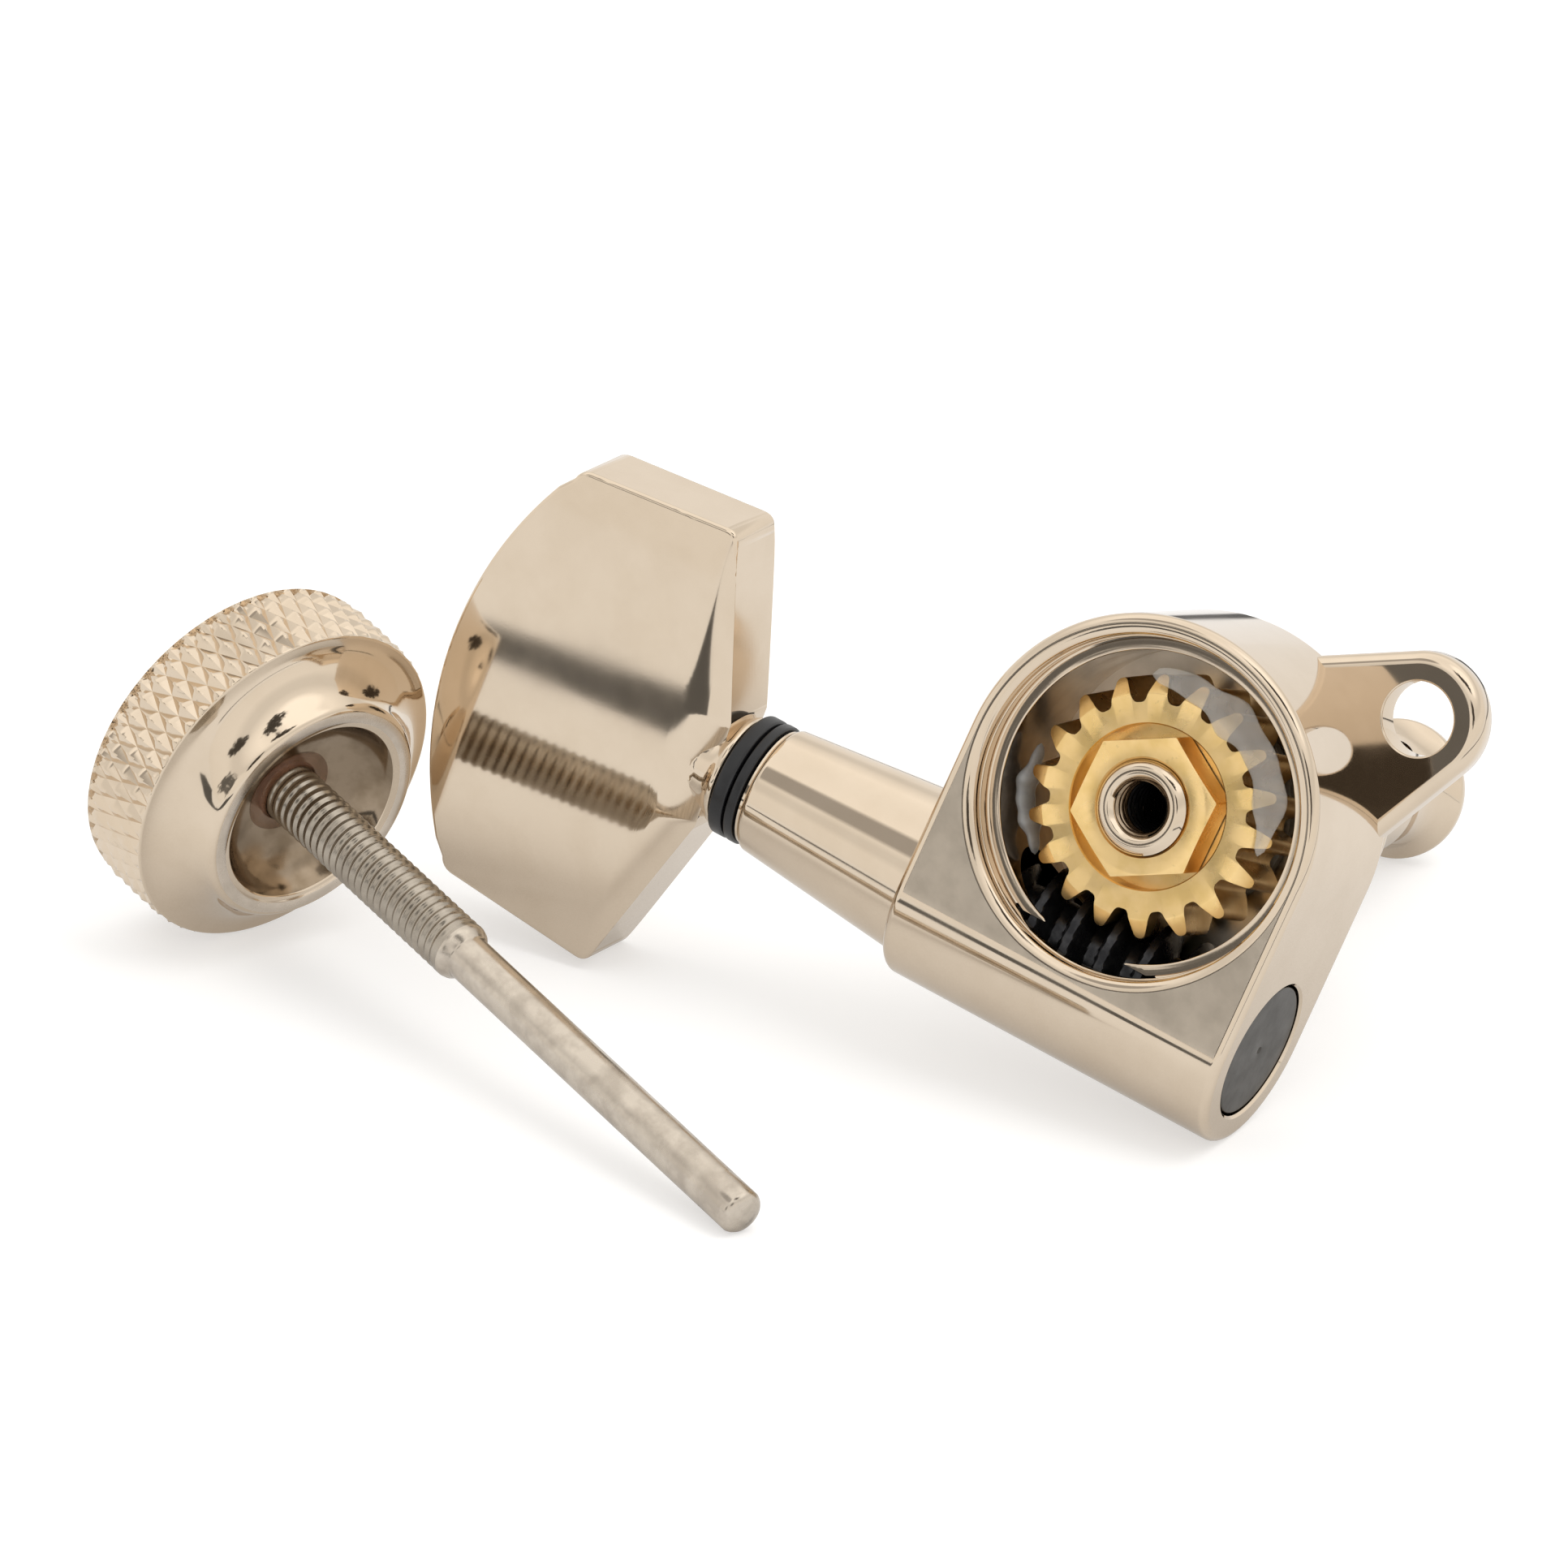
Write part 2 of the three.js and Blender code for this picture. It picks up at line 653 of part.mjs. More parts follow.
function gearNut() {
  const low = recess_floor + seat_gap;
  const high = low + nut_thickness;
  const corner = nut_across_corners_radius;
  const flat = corner * Math.cos(Math.PI / 6);
  const chamfer_height = nut_chamfer_share * (corner - flat);
  const blank = turned([
    [0, low],
    [corner, low],
    [corner, high - chamfer_height],
    [flat, high],
    [0, high],
  ]);
  const bore = turned(discProfile(post_thread_radius + thread_gap, low - overrun, high + overrun), bore_sides);
  const hex = solidOf(hexagon(corner, low, high)).rotate([0, 0, nut_turn]);
  return hex.intersect(solidOf(blank)).subtract(solidOf(bore));
}

// The button: a keystone plate with a bowed outer end and slightly bulged faces, on a short round neck.
function button() {
  const corners = [
    [button_face, -button_flare_radius],
    [button_shoulder, -button_inner_half_width],
    [button_outer, -button_outer_half_width],
  ];
  const plate = new THREE.Shape();
  const crown_radius = (button_outer_half_width ** 2 + button_crown ** 2) / (2 * button_crown);
  const crown_angle = Math.asin(button_outer_half_width / crown_radius);
  const lower = roundedCorner(corners[0], corners[1], corners[2]);
  const outer = roundedCorner(corners[1], corners[2], crownPoint(crown_radius, -crown_angle * 0.8));
  plate.moveTo(...corners[0]);
  plate.lineTo(...lower.before);
  plate.quadraticCurveTo(...corners[1], ...lower.after);
  plate.lineTo(...outer.before);
  plate.quadraticCurveTo(...corners[2], ...outer.after);
  const start = Math.asin(outer.after[1] / crown_radius);
  plate.absarc(button_crown_x - crown_radius, 0, crown_radius, start, -start, false);
  plate.lineTo(outer.after[0], -outer.after[1]);
  plate.quadraticCurveTo(corners[2][0], -corners[2][1], outer.before[0], -outer.before[1]);
  plate.lineTo(lower.after[0], -lower.after[1]);
  plate.quadraticCurveTo(corners[1][0], -corners[1][1], lower.before[0], -lower.before[1]);
  plate.lineTo(corners[0][0], -corners[0][1]);
  plate.closePath();
  const half = button_thickness / 2;
  const reach = half + button_face_crown + overrun;
  const block = new THREE.ExtrudeGeometry(plate, { depth: 2 * reach, bevelEnabled: false, curveSegments: 8 });
  const slab = solidOf(block.translate(0, worm_offset, worm_height - reach)).intersect(solidOf(bulgedBar()));
  const flare = turnedAlongWorm([
    [0, button_start],
    [button_neck_radius, button_start],
    [button_waist_radius, button_start + button_neck_length * button_waist_share],
    [button_flare_radius, button_face + button_shoulder_rise * button_flare_share],
    [half, button_shoulder],
    [0, button_shoulder + button_shoulder_rise],
  ]);
  const hole_end = button_start + tang_length + seat_gap;
  const hole = solidOf(turnedAlongWorm([
    [0, button_start - overrun],
    [tang_radius + press_gap, button_start - overrun],
    [tang_radius + press_gap, hole_end],
    [0, hole_end],
  ], fine_bore_sides));
  const half_width = tang_flat_offset + press_gap;
  const tang_hole = flattened(hole, half_width, button_start - 2 * overrun, hole_end + overrun, half);
  return slab.add(solidOf(flare)).subtract(tang_hole);
}

// A bar along the shaft, as wide as the button, whose two broad faces bulge in the middle.
function bulgedBar() {
  const half = button_thickness / 2;
  const radius = (button_inner_half_width ** 2 + button_face_crown ** 2) / (2 * button_face_crown);
  const angle = Math.asin(button_inner_half_width / radius);
  const middle = half + button_face_crown - radius;
  const section = new THREE.Shape();
  section.absarc(0, middle, radius, Math.PI / 2 + angle, Math.PI / 2 - angle, true);
  section.absarc(0, -middle, radius, angle - Math.PI / 2, -angle - Math.PI / 2, true);
  section.closePath();
  const from = button_start - overrun;
  const depth = button_crown_x + overrun - from;
  const bar = new THREE.ExtrudeGeometry(section, { depth, bevelEnabled: false, curveSegments: button_face_steps });
  return bar.rotateY(Math.PI / 2).rotateX(Math.PI / 2).translate(from, worm_offset, worm_height);
}

// A point on the button's bowed end.
function crownPoint(radius, angle) {
  return [button_crown_x - radius + radius * Math.cos(angle), radius * Math.sin(angle)];
}

// Where the round of a corner begins and ends.
function roundedCorner(before, corner, after) {
  const here = new THREE.Vector2(...corner);
  const back = new THREE.Vector2(...before).sub(here).setLength(button_corner_radius).add(here);
  const on = new THREE.Vector2(...after).sub(here).setLength(button_corner_radius).add(here);
  return { before: [back.x, back.y], after: [on.x, on.y] };
}

function wormBorePlug() {
  const outer = plug_recess - housing_radius;
  const radius = worm_bore_radius - thread_gap;
  const bore = worm_journal_radius + running_gap;
  return turnedAlongWorm([
    [0, outer + plug_dimple_depth],
    [plug_dimple_radius, outer],
    [radius, outer],
    [radius, plug_inner],
    [bore, plug_inner],
    [bore, plug_inner - plug_bore_depth],
    [0, plug_inner - plug_bore_depth],
  ]);
}

// A washer round the worm's axis.
function wormWasher(inner, outer, start, thickness, chamfer = 0) {
  return turnedAlongWorm(ringProfile(inner, outer, start, start + thickness, chamfer));
}

// The plain bearing that lines the neck.
function neckBearing() {
  const inner = shaft_radius + running_gap;
  const outer = inner + neck_bearing_wall;
  return turnedAlongWorm(ringProfile(inner, outer, neck_bore_start + seat_gap, neck_end - seat_gap));
}

function headstockBushing() {
  const washer_low = -boss_length - seat_gap - bushing_washer_thickness;
  const head_high = washer_low - seat_gap;
  const head_low = head_high - bushing_head_thickness;
  const shank_high = head_high + bushing_shank_length;
  const shank_radius = boss_bore_radius - thread_gap;
  const corner = bushing_head_corner_radius;
  const flat = corner * Math.cos(Math.PI / 6);
  const head_blank = solidOf(turned([
    [0, head_low],
    [flat, head_low],
    [corner, head_low + (corner - flat) / 2],
    [corner, head_high],
    [0, head_high],
  ]));
  const head = solidOf(hexagon(corner, head_low, head_high)).intersect(head_blank);
  const shank = solidOf(turned(discProfile(shank_radius, (head_low + head_high) / 2, shank_high)));
  const bore = turned(discProfile(post_radius + running_gap, head_low - overrun, shank_high + overrun));
  return head.add(shank).subtract(solidOf(bore));
}

function bushingWasher() {
  const high = -boss_length - seat_gap;
  const low = high - bushing_washer_thickness;
  const inner = boss_bore_radius + seat_gap;
  return turned(ringProfile(inner, bushing_washer_radius, low, high, bushing_washer_chamfer));
}

// The bearing in the housing's floor, under the gear's washer.
function postBearing() {
  const inner = post_radius + running_gap;
  const low = seat_gap + shankTop();
  return turned(ringProfile(inner, inner + post_bearing_wall, low, floor_thickness));
}

function shankTop() {
  return bushing_shank_length - boss_length - 2 * seat_gap - bushing_washer_thickness;
}

function floorWasher() {
  const low = floor_thickness + seat_gap;
  const high = low + floor_washer_thickness;
  return turned(ringProfile(post_radius + running_gap, floor_washer_radius, low, high));
}

// The thumbwheel in the screw's own frame: Z runs from the wheel to the pin's tip,
// the front edge of the knurl is at zero.
function lockingWheel() {
  const back = -wheel_knurl_width;
  const ring_inner = wheel_boss_radius - wheel_boss_wall;
  const hollow = wheel_boss_height - wheel_hollow_depth;
  const flank_start = wheel_land_radius - wheel_edge_chamfer;
  const rise = wheel_boss_height;
  const flank = [];
  for (let i = 1; i <= wheel_flank_steps; i += 1) {
    const t = i / wheel_flank_steps;
    const radius = flank_start + (wheel_boss_radius - flank_start) * t;
    const bulge = wheel_flank_sag * Math.sin(2 * Math.PI * (1 - t));
    flank.push([radius, rise * wheel_flank_share * t + bulge]);
  }
  const profile = [
    [0, back - wheel_back_crown],
    [wheel_radius * wheel_back_shares[0], back - wheel_back_crown * wheel_back_shares[1]],
    [wheel_radius - wheel_edge_chamfer, back],
    [wheel_radius, back + wheel_edge_chamfer],
    [wheel_radius, -wheel_edge_chamfer],
    [wheel_land_radius, 0],
    ...flank,
    [wheel_boss_radius - wheel_boss_chamfer, rise],
    [ring_inner, rise],
    [ring_inner, hollow],
    [screw_thread_radius + thread_gap, hollow],
    [screw_thread_radius + thread_gap, hollow - screw_seat_depth],
    [0, hollow - screw_seat_depth],
  ];
  return turned(profile, wheel_sides);
}

function lockingPin() {
  const start = wheel_boss_height - wheel_hollow_depth - screw_seat_depth + seat_gap;
  return turned([
    [0, start],
    [screw_thread_radius, start],
    [screw_thread_radius, screw_thread_length - screw_step_chamfer],
    [screw_pin_radius, screw_thread_length],
    [screw_pin_radius, screw_length - screw_tip_chamfer],
    [screw_pin_radius - screw_tip_chamfer, screw_length],
    [0, screw_length],
  ], bore_sides);
}

// Finishes: colour, roughness and metalness of each material.
const finishes = {
  nickel: [0xcfc4b4, 0.14, 1],
  steel: [0xb9b4ab, 0.32, 1],
  black_steel: [0x16171a, 0.42, 0.9],
  brass: [0xd9a94e, 0.34, 1],
  black_nylon: [0x131316, 0.5, 0],
  pale_nylon: [0xd8d4c8, 0.55, 0],
  bronze: [0xa97c4a, 0.4, 1],
};

// One named mesh from a solid or a geometry.
function piece(name, form, finish) {
  const [color, roughness, metalness] = finishes[finish];
  const geometry = form.isBufferGeometry ? geometryOf(solidOf(form)) : geometryOf(form);
  const mesh = new THREE.Mesh(geometry, new THREE.MeshStandardMaterial({ color, roughness, metalness }));
  mesh.name = name;
  return mesh;
}

function buildTuner() {
  const tuner = new THREE.Group();
  const worm_drive = new THREE.Group();
  worm_drive.position.set(0, worm_offset, worm_height);
  worm_drive.rotation.x = -degrees(button_turn);
  worm_drive.add(piece('worm_shaft', wormShaft(), 'black_steel'), piece('button', button(), 'nickel'));
  worm_drive.children.forEach((mesh) => mesh.position.set(0, -worm_offset, -worm_height));
  const thrust_outer = worm_bore_radius - running_gap;
  tuner.add(
    piece('housing', housing(), 'nickel'),
    piece('worm_bore_plug', wormBorePlug(), 'black_steel'),
    piece('worm_thrust_washer', wormWasher(shaft_radius + running_gap, thrust_outer,
      thrust_washer_start, thrust_washer_thickness), 'steel'),
    piece('worm_end_washer', wormWasher(worm_journal_radius + running_gap, thrust_outer,
      plug_inner + seat_gap, worm_end_washer_thickness), 'steel'),
    piece('neck_bearing', neckBearing(), 'bronze'),
    piece('neck_inner_washer', wormWasher(shaft_radius + running_gap, neck_washer_radius,
      inner_washer_start, inner_washer_thickness, inner_washer_chamfer), 'black_nylon'),
    piece('neck_outer_washer', wormWasher(shaft_radius + running_gap, neck_washer_radius,
      outer_washer_start, outer_washer_thickness, outer_washer_chamfer), 'black_nylon'),
    worm_drive,
    piece('string_post', stringPost(), 'nickel'),
    piece('worm_wheel', wormWheel(), 'brass'),
    piece('gear_nut', gearNut(), 'brass'),
    piece('gear_floor_washer', floorWasher(), 'pale_nylon'),
    piece('post_bearing', postBearing(), 'pale_nylon'),
    piece('headstock_bushing', headstockBushing(), 'nickel'),
    piece('bushing_washer', bushingWasher(), 'nickel'),
  );
  return tuner;
}

function buildScrew() {
  const screw = new THREE.Group();
  screw.add(piece('locking_wheel', lockingWheel(), 'nickel'), piece('locking_pin', lockingPin(), 'steel'));
  return screw;
}

// The lowest vertex of a named mesh along a direction, in the frame of the group that holds it.
function lowestPoint(group, name, up) {
  const mesh = group.getObjectByName(name);
  const spots = mesh.geometry.attributes.position;
  const spot = new THREE.Vector3();
  const lowest = new THREE.Vector3();
  let least = Infinity;
  for (let i = 0; i < spots.count; i += 1) {
    spot.fromBufferAttribute(spots, i).applyMatrix4(mesh.matrixWorld);
    const height = spot.dot(up);
    if (height < least) {
      least = height;
      lowest.copy(spot);
    }
  }
  return lowest;
}

// Lays the tuner on the table: it rests on the button, the housing and the post's head.
function layDownTuner(tuner) {
  tuner.updateMatrixWorld(true);
  const up = rest_lean_guess.clone().normalize();
  let foot = new THREE.Vector3();
  for (let round = 0; round < rest_search_count; round += 1) {
    const [a, b, c] = ['button', 'housing', 'string_post'].map((name) => lowestPoint(tuner, name, up));
    const normal = b.clone().sub(a).cross(c.clone().sub(a)).normalize();
    up.copy(normal.dot(up) < 0 ? normal.negate() : normal);
    foot = a;
  }
  const along = new THREE.Vector3(1, 0, 0).addScaledVector(up, -up.x).normalize();
  const side = up.clone().cross(along);
  const turn = degrees(tuner_heading);
  const east = along.clone().multiplyScalar(Math.cos(turn)).addScaledVector(side, -Math.sin(turn));
  const north = up.clone().cross(east);
  const facing = new THREE.Matrix4().makeBasis(east, north, up).transpose();
  tuner.quaternion.setFromRotationMatrix(facing);
  const back_centre = new THREE.Vector3(0, 0, housing_depth).applyQuaternion(tuner.quaternion);
  const height = back_centre.z - foot.applyQuaternion(tuner.quaternion).z;
  tuner.position.set(-back_centre.x, -back_centre.y, height - back_centre.z);
}

// Lays the locking screw on the rim of its wheel and the tip of its pin, in front of the button's bowed end.
function layDownScrew(screw, tuner) {
  const rim = wheel_radius;
  const rim_place = -wheel_edge_chamfer;
  const reach = screw_length - screw_tip_chamfer - rim_place;
  const dip = Math.atan((rim - screw_pin_radius) / reach);
  const heading = degrees(screw_heading);
  const ahead = new THREE.Vector3(Math.cos(heading), Math.sin(heading), 0);
  const axis = ahead.clone().multiplyScalar(Math.cos(dip)).setZ(-Math.sin(dip));
  const side = new THREE.Vector3(-Math.sin(heading), Math.cos(heading), 0);
  const lean = axis.clone().cross(side);
  screw.quaternion.setFromRotationMatrix(new THREE.Matrix4().makeBasis(side, lean, axis));
  const height = rim * Math.cos(dip) + rim_place * Math.sin(dip);
  const crown = new THREE.Vector3(button_crown_x, worm_offset, worm_height).applyQuaternion(tuner.quaternion);
  crown.add(tuner.position);
  screw.position.set(crown.x + screw_from_crown_x, crown.y + screw_from_crown_y, height);
}

function buildScene() {
  const group = new THREE.Group();
  const tuner = buildTuner();
  const screw = buildScrew();
  layDownTuner(tuner);
  layDownScrew(screw, tuner);
  group.add(tuner, screw);
  group.updateMatrixWorld(true);
  const box = new THREE.Box3().setFromObject(group, true);
  const middle = box.getCenter(new THREE.Vector3());
  group.position.set(-middle.x, -middle.y, -box.min.z);
  group.updateMatrixWorld(true);
  return group;
}

const group = buildScene();

export default group;
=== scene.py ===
"""Looks of a back-locking guitar tuning machine and its locking screw, lying on a white table."""

import json
import logging
import math
from dataclasses import dataclass, field
from enum import Enum
from functools import partial
from typing import Callable, Iterable, Optional, Sequence

import bmesh
import bpy
from mathutils import Matrix, Vector


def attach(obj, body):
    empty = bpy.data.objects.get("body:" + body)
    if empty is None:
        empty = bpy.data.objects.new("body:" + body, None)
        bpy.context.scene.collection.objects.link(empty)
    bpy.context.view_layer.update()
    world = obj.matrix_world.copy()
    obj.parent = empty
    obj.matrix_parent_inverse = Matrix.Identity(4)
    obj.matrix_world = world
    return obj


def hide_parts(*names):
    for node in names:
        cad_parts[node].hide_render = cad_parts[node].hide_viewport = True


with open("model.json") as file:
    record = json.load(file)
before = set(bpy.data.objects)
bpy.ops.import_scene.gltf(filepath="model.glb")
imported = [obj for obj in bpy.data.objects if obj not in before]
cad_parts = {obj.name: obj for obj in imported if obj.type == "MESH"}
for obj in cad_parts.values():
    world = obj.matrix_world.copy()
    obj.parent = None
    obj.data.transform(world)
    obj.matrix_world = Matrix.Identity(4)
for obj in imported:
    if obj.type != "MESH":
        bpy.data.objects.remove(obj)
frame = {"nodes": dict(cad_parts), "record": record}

log = logging.getLogger("scene")
Point = tuple[float, float]
Triple = tuple[float, float, float]
Profile = Sequence[Point]
Colour = tuple[float, float, float]
Socket = bpy.types.NodeSocket
Mesh = bmesh.types.BMesh
Material = bpy.types.Material

# A millimetre in the frame's metres
MM = 0.001
# Places closer than this, in millimetres, are the same
SAME = 1e-5
# The same for a place that has been through several steps
NEAR = 1e-4
# How far a face's middle may stand from the surface that it is counted to
HAIR = 0.01
# The upward part of a direction from which a face counts as flat
LEVEL = 0.995
# How far a cutting or sunk solid goes on past the surface
OVERRUN = 1.0


class Body(str, Enum):
    """The rigid bodies that pieces ride on."""

    CASING = "casing"
    WORM_DRIVE = "worm_drive"
    POST_DRIVE = "post_drive"
    LOCKING_SCREW = "locking_screw"


class Slot(str, Enum):
    """The record's material slots."""

    NICKEL = "nickel"
    STEEL = "steel"
    BLACK_STEEL = "black_steel"
    BRASS = "brass"
    BRONZE = "bronze"
    BLACK_NYLON = "black_nylon"
    PALE_NYLON = "pale_nylon"


@dataclass(frozen=True)
class Placement:
    """A right-handed frame of a sub-assembly, in metres, with its axes in the world."""

    origin: Vector
    x: Vector
    y: Vector
    z: Vector

    def turn(self) -> Matrix:
        """Returns the rotation that takes local directions to the world's."""
        return Matrix((self.x, self.y, self.z)).transposed().to_4x4()

    def matrix(self) -> Matrix:
        """Returns the matrix that takes local millimetres to world metres."""
        return Matrix.Translation(self.origin) @ self.turn() @ Matrix.Scale(MM, 4)


def joint(name: str) -> tuple[Vector, Vector]:
    """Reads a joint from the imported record.

    Args:
        name: The joint's name.

    Returns:
        Its place and its unit axis.
    """
    for entry in frame["record"]["behaviour"]["joints"]:
        if entry["name"] == name:
            return Vector(entry["pos_m"]), Vector(entry["axis"]).normalized()
    raise KeyError(name)


@dataclass(frozen=True)
class Sizes:
    """Sizes of the tuner that several pieces share, in millimetres, as in the CAD model."""

    radius: float = 9.0
    depth: float = 9.6
    worm_offset: float = 8.25
    worm_height: float = 4.8
    worm_bore: float = 3.4
    well: float = 7.28
    seat: float = 8.04
    seat_depth: float = 1.63
    floor: float = 1.5
    neck_end: float = 18.3
    shaft: float = 1.65
    button_start: float = 19.91
    gear_top: float = 7.83
    gear_bottom: float = 2.63
    gear_tip: float = 6.13
    recess: float = 3.85
    recess_floor: float = 6.38
    gear_teeth: int = 18
    gear_module: float = 0.61306
    gear_phase: float = 10.0
    gear_chamfer_drop: float = 0.6
    post: float = 3.0
    post_thread: float = 2.2
    boss_length: float = 6.8


SIZES = Sizes()


def tuner_placement() -> Placement:
    """Works out the tuner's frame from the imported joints.

    Returns:
        The frame: X along the worm shaft, Z along the post, origin on the seat.
    """
    _, x = joint("button_turn")
    place, z = joint("post_turn")
    return Placement(place - z * SIZES.worm_height * MM, x, z.cross(x), z)


def screw_placement() -> Placement:
    """Works out the locking screw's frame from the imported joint.

    Returns:
        The frame: Z towards the pin's tip, origin at the knurl's front.
    """
    place, z = joint("locking_screw_turn")
    x = Vector((-z.y, z.x, 0.0)).normalized()
    return Placement(place, x, z.cross(x), z)


class Nodes:
    """A short way to build a node tree."""

    def __init__(self, tree: bpy.types.NodeTree) -> None:
        """Keeps the tree.

        Args:
            tree: The node tree to build in.
        """
        self.tree = tree

    def add(self, kind: str, **settings: object) -> bpy.types.Node:
        """Adds a node.

        Args:
            kind: The node's type name without its ShaderNode prefix.
            **settings: Properties of the node.

        Returns:
            The node.
        """
        node = self.tree.nodes.new("ShaderNode" + kind)
        for key, value in settings.items():
            setattr(node, key, value)
        return node

    def feed(self, socket: Socket, value: object) -> None:
        """Links a socket to another, or sets its value.

        Args:
            socket: The input socket.
            value: An output socket, a number, a colour or a vector.
        """
        if isinstance(value, bpy.types.NodeSocket):
            self.tree.links.new(value, socket)
        elif isinstance(value, tuple) and len(socket.default_value) == 4:
            socket.default_value = (*value, 1.0)
        else:
            socket.default_value = value

    def math(self, operation: str, a: object, b: object = 0.0) -> Socket:
        """Adds a maths node.

        Args:
            operation: The maths operation.
            a: A socket or a number.
            b: A socket or a number.

        Returns:
            The result's socket.
        """
        node = self.add("Math", operation=operation)
        self.feed(node.inputs[0], a)
        self.feed(node.inputs[1], b)
        return node.outputs[0]

    def vector(self, operation: str, a: object, b: object = (0.0, 0.0, 0.0)) -> Socket:
        """Adds a vector maths node.

        Args:
            operation: The vector maths operation.
            a: A socket or a vector.
            b: A socket or a vector.

        Returns:
            The socket of its number, for an operation that gives one, or else of its vector.
        """
        node = self.add("VectorMath", operation=operation)
        self.feed(node.inputs[0], a)
        self.feed(node.inputs[1], b)
        gives_number = operation in {"DOT_PRODUCT", "LENGTH", "DISTANCE"}
        return node.outputs["Value" if gives_number else "Vector"]

    def part(self, vector: Socket, axis: str) -> Socket:
        """Takes one part of a vector.

        Args:
            vector: The vector.
            axis: X, Y or Z.

        Returns:
            The part's socket.
        """
        node = self.add("SeparateXYZ")
        self.feed(node.inputs[0], vector)
        return node.outputs[axis]

    def stretch(self, vector: Socket, scale: object, turn: Triple = (0.0, 0.0, 0.0)) -> Socket:
        """Turns a vector and stretches it along its axes.

        Args:
            vector: The vector.
            scale: Three factors, or a socket.
            turn: Angles in degrees about X, Y and Z.

        Returns:
            The changed vector's socket.
        """
        if any(turn):
            rotate = self.add("VectorRotate", rotation_type="EULER_XYZ")
            rotate.inputs["Rotation"].default_value = tuple(math.radians(angle) for angle in turn)
            self.feed(rotate.inputs["Vector"], vector)
            vector = rotate.outputs[0]
        return self.vector("MULTIPLY", vector, scale)

    def noise(self, vector: Socket, scale: object, detail: float = 3.0, rough: float = 0.55) -> Socket:
        """Adds a noise texture.

        Args:
            vector: Where the noise is read.
            scale: How many features in a metre.
            detail: How many octaves.
            rough: How strong the finer octaves are.

        Returns:
            The value's socket.
        """
        node = self.add("TexNoise", noise_dimensions="3D")
        self.feed(node.inputs["Scale"], scale)
        self.feed(node.inputs["Detail"], detail)
        self.feed(node.inputs["Roughness"], rough)
        self.feed(node.inputs["Vector"], vector)
        return node.outputs["Fac"]

    def ramp(self, value: Socket, low: object, high: object, to_low: object, to_high: object) -> Socket:
        """Maps a value from one range to another, held at both ends.

        Args:
            value: The value to map.
            low: Start of the source range.
            high: End of the source range.
            to_low: Start of the target range.
            to_high: End of the target range.

        Returns:
            The result's socket.
        """
        node = self.add("MapRange", clamp=True)
        for socket, number in zip(node.inputs[:5], (value, low, high, to_low, to_high)):
            self.feed(socket, number)
        return node.outputs[0]

    def blend(self, factor: object, a: object, b: object) -> Socket:
        """Mixes two colours.

        Args:
            factor: A socket or a number from 0 for a to 1 for b.
            a: The first colour or socket.
            b: The second colour or socket.

        Returns:
            The mixed colour's socket.
        """
        node = self.add("Mix", data_type="RGBA", clamp_factor=True)
        for socket, value in zip((node.inputs[0], node.inputs[6], node.inputs[7]), (factor, a, b)):
            self.feed(socket, value)
        return node.outputs[2]


def surface_group() -> bpy.types.NodeTree:
    """Builds, once, the group that all finishes share: how polish, tone and fine lines wander.

    Returns:
        The group, which puts out how dull and how toned the surface is, its fine height and its pits.
    """
    found = bpy.data.node_groups.get("surface_life")
    if found is not None:
        return found
    group = bpy.data.node_groups.new("surface_life", "ShaderNodeTree")
    sockets = (
        ("Vector", "INPUT", "NodeSocketVector"), ("Patch Scale", "INPUT", "NodeSocketFloat"),
        ("Grain Scale", "INPUT", "NodeSocketFloat"), ("Line Scale", "INPUT", "NodeSocketVector"),
        ("Polish", "OUTPUT", "NodeSocketFloat"), ("Tone", "OUTPUT", "NodeSocketFloat"),
        ("Height", "OUTPUT", "NodeSocketFloat"), ("Pits", "OUTPUT", "NodeSocketFloat"),
    )
    for name, direction, kind in sockets:
        group.interface.new_socket(name=name, in_out=direction, socket_type=kind)
    nodes = Nodes(group)
    inlet = group.nodes.new("NodeGroupInput")
    outlet = group.nodes.new("NodeGroupOutput")
    place = inlet.outputs["Vector"]
    patches = inlet.outputs["Patch Scale"]
    apart = nodes.stretch(place, (1.7, 1.3, 1.5), (20.0, 40.0, 10.0))
    drawn = nodes.stretch(place, inlet.outputs["Line Scale"], (12.0, 25.0, 33.0))
    polish = nodes.noise(place, patches, 4.0)
    tone = nodes.noise(apart, patches, 3.0)
    grain = nodes.noise(place, inlet.outputs["Grain Scale"], 3.0, 0.65)
    lines = nodes.noise(drawn, 1.0, 2.0, 0.7)
    height = nodes.math("ADD", nodes.math("MULTIPLY", grain, 0.5), nodes.math("MULTIPLY", lines, 0.5))
    specks = nodes.noise(place, nodes.math("MULTIPLY", patches, 6.0), 2.0)
    pits = nodes.ramp(specks, 0.68, 0.74, 0.0, 1.0)
    for name, value in (("Polish", polish), ("Tone", tone), ("Height", height), ("Pits", pits)):
        nodes.feed(outlet.inputs[name], value)
    return group


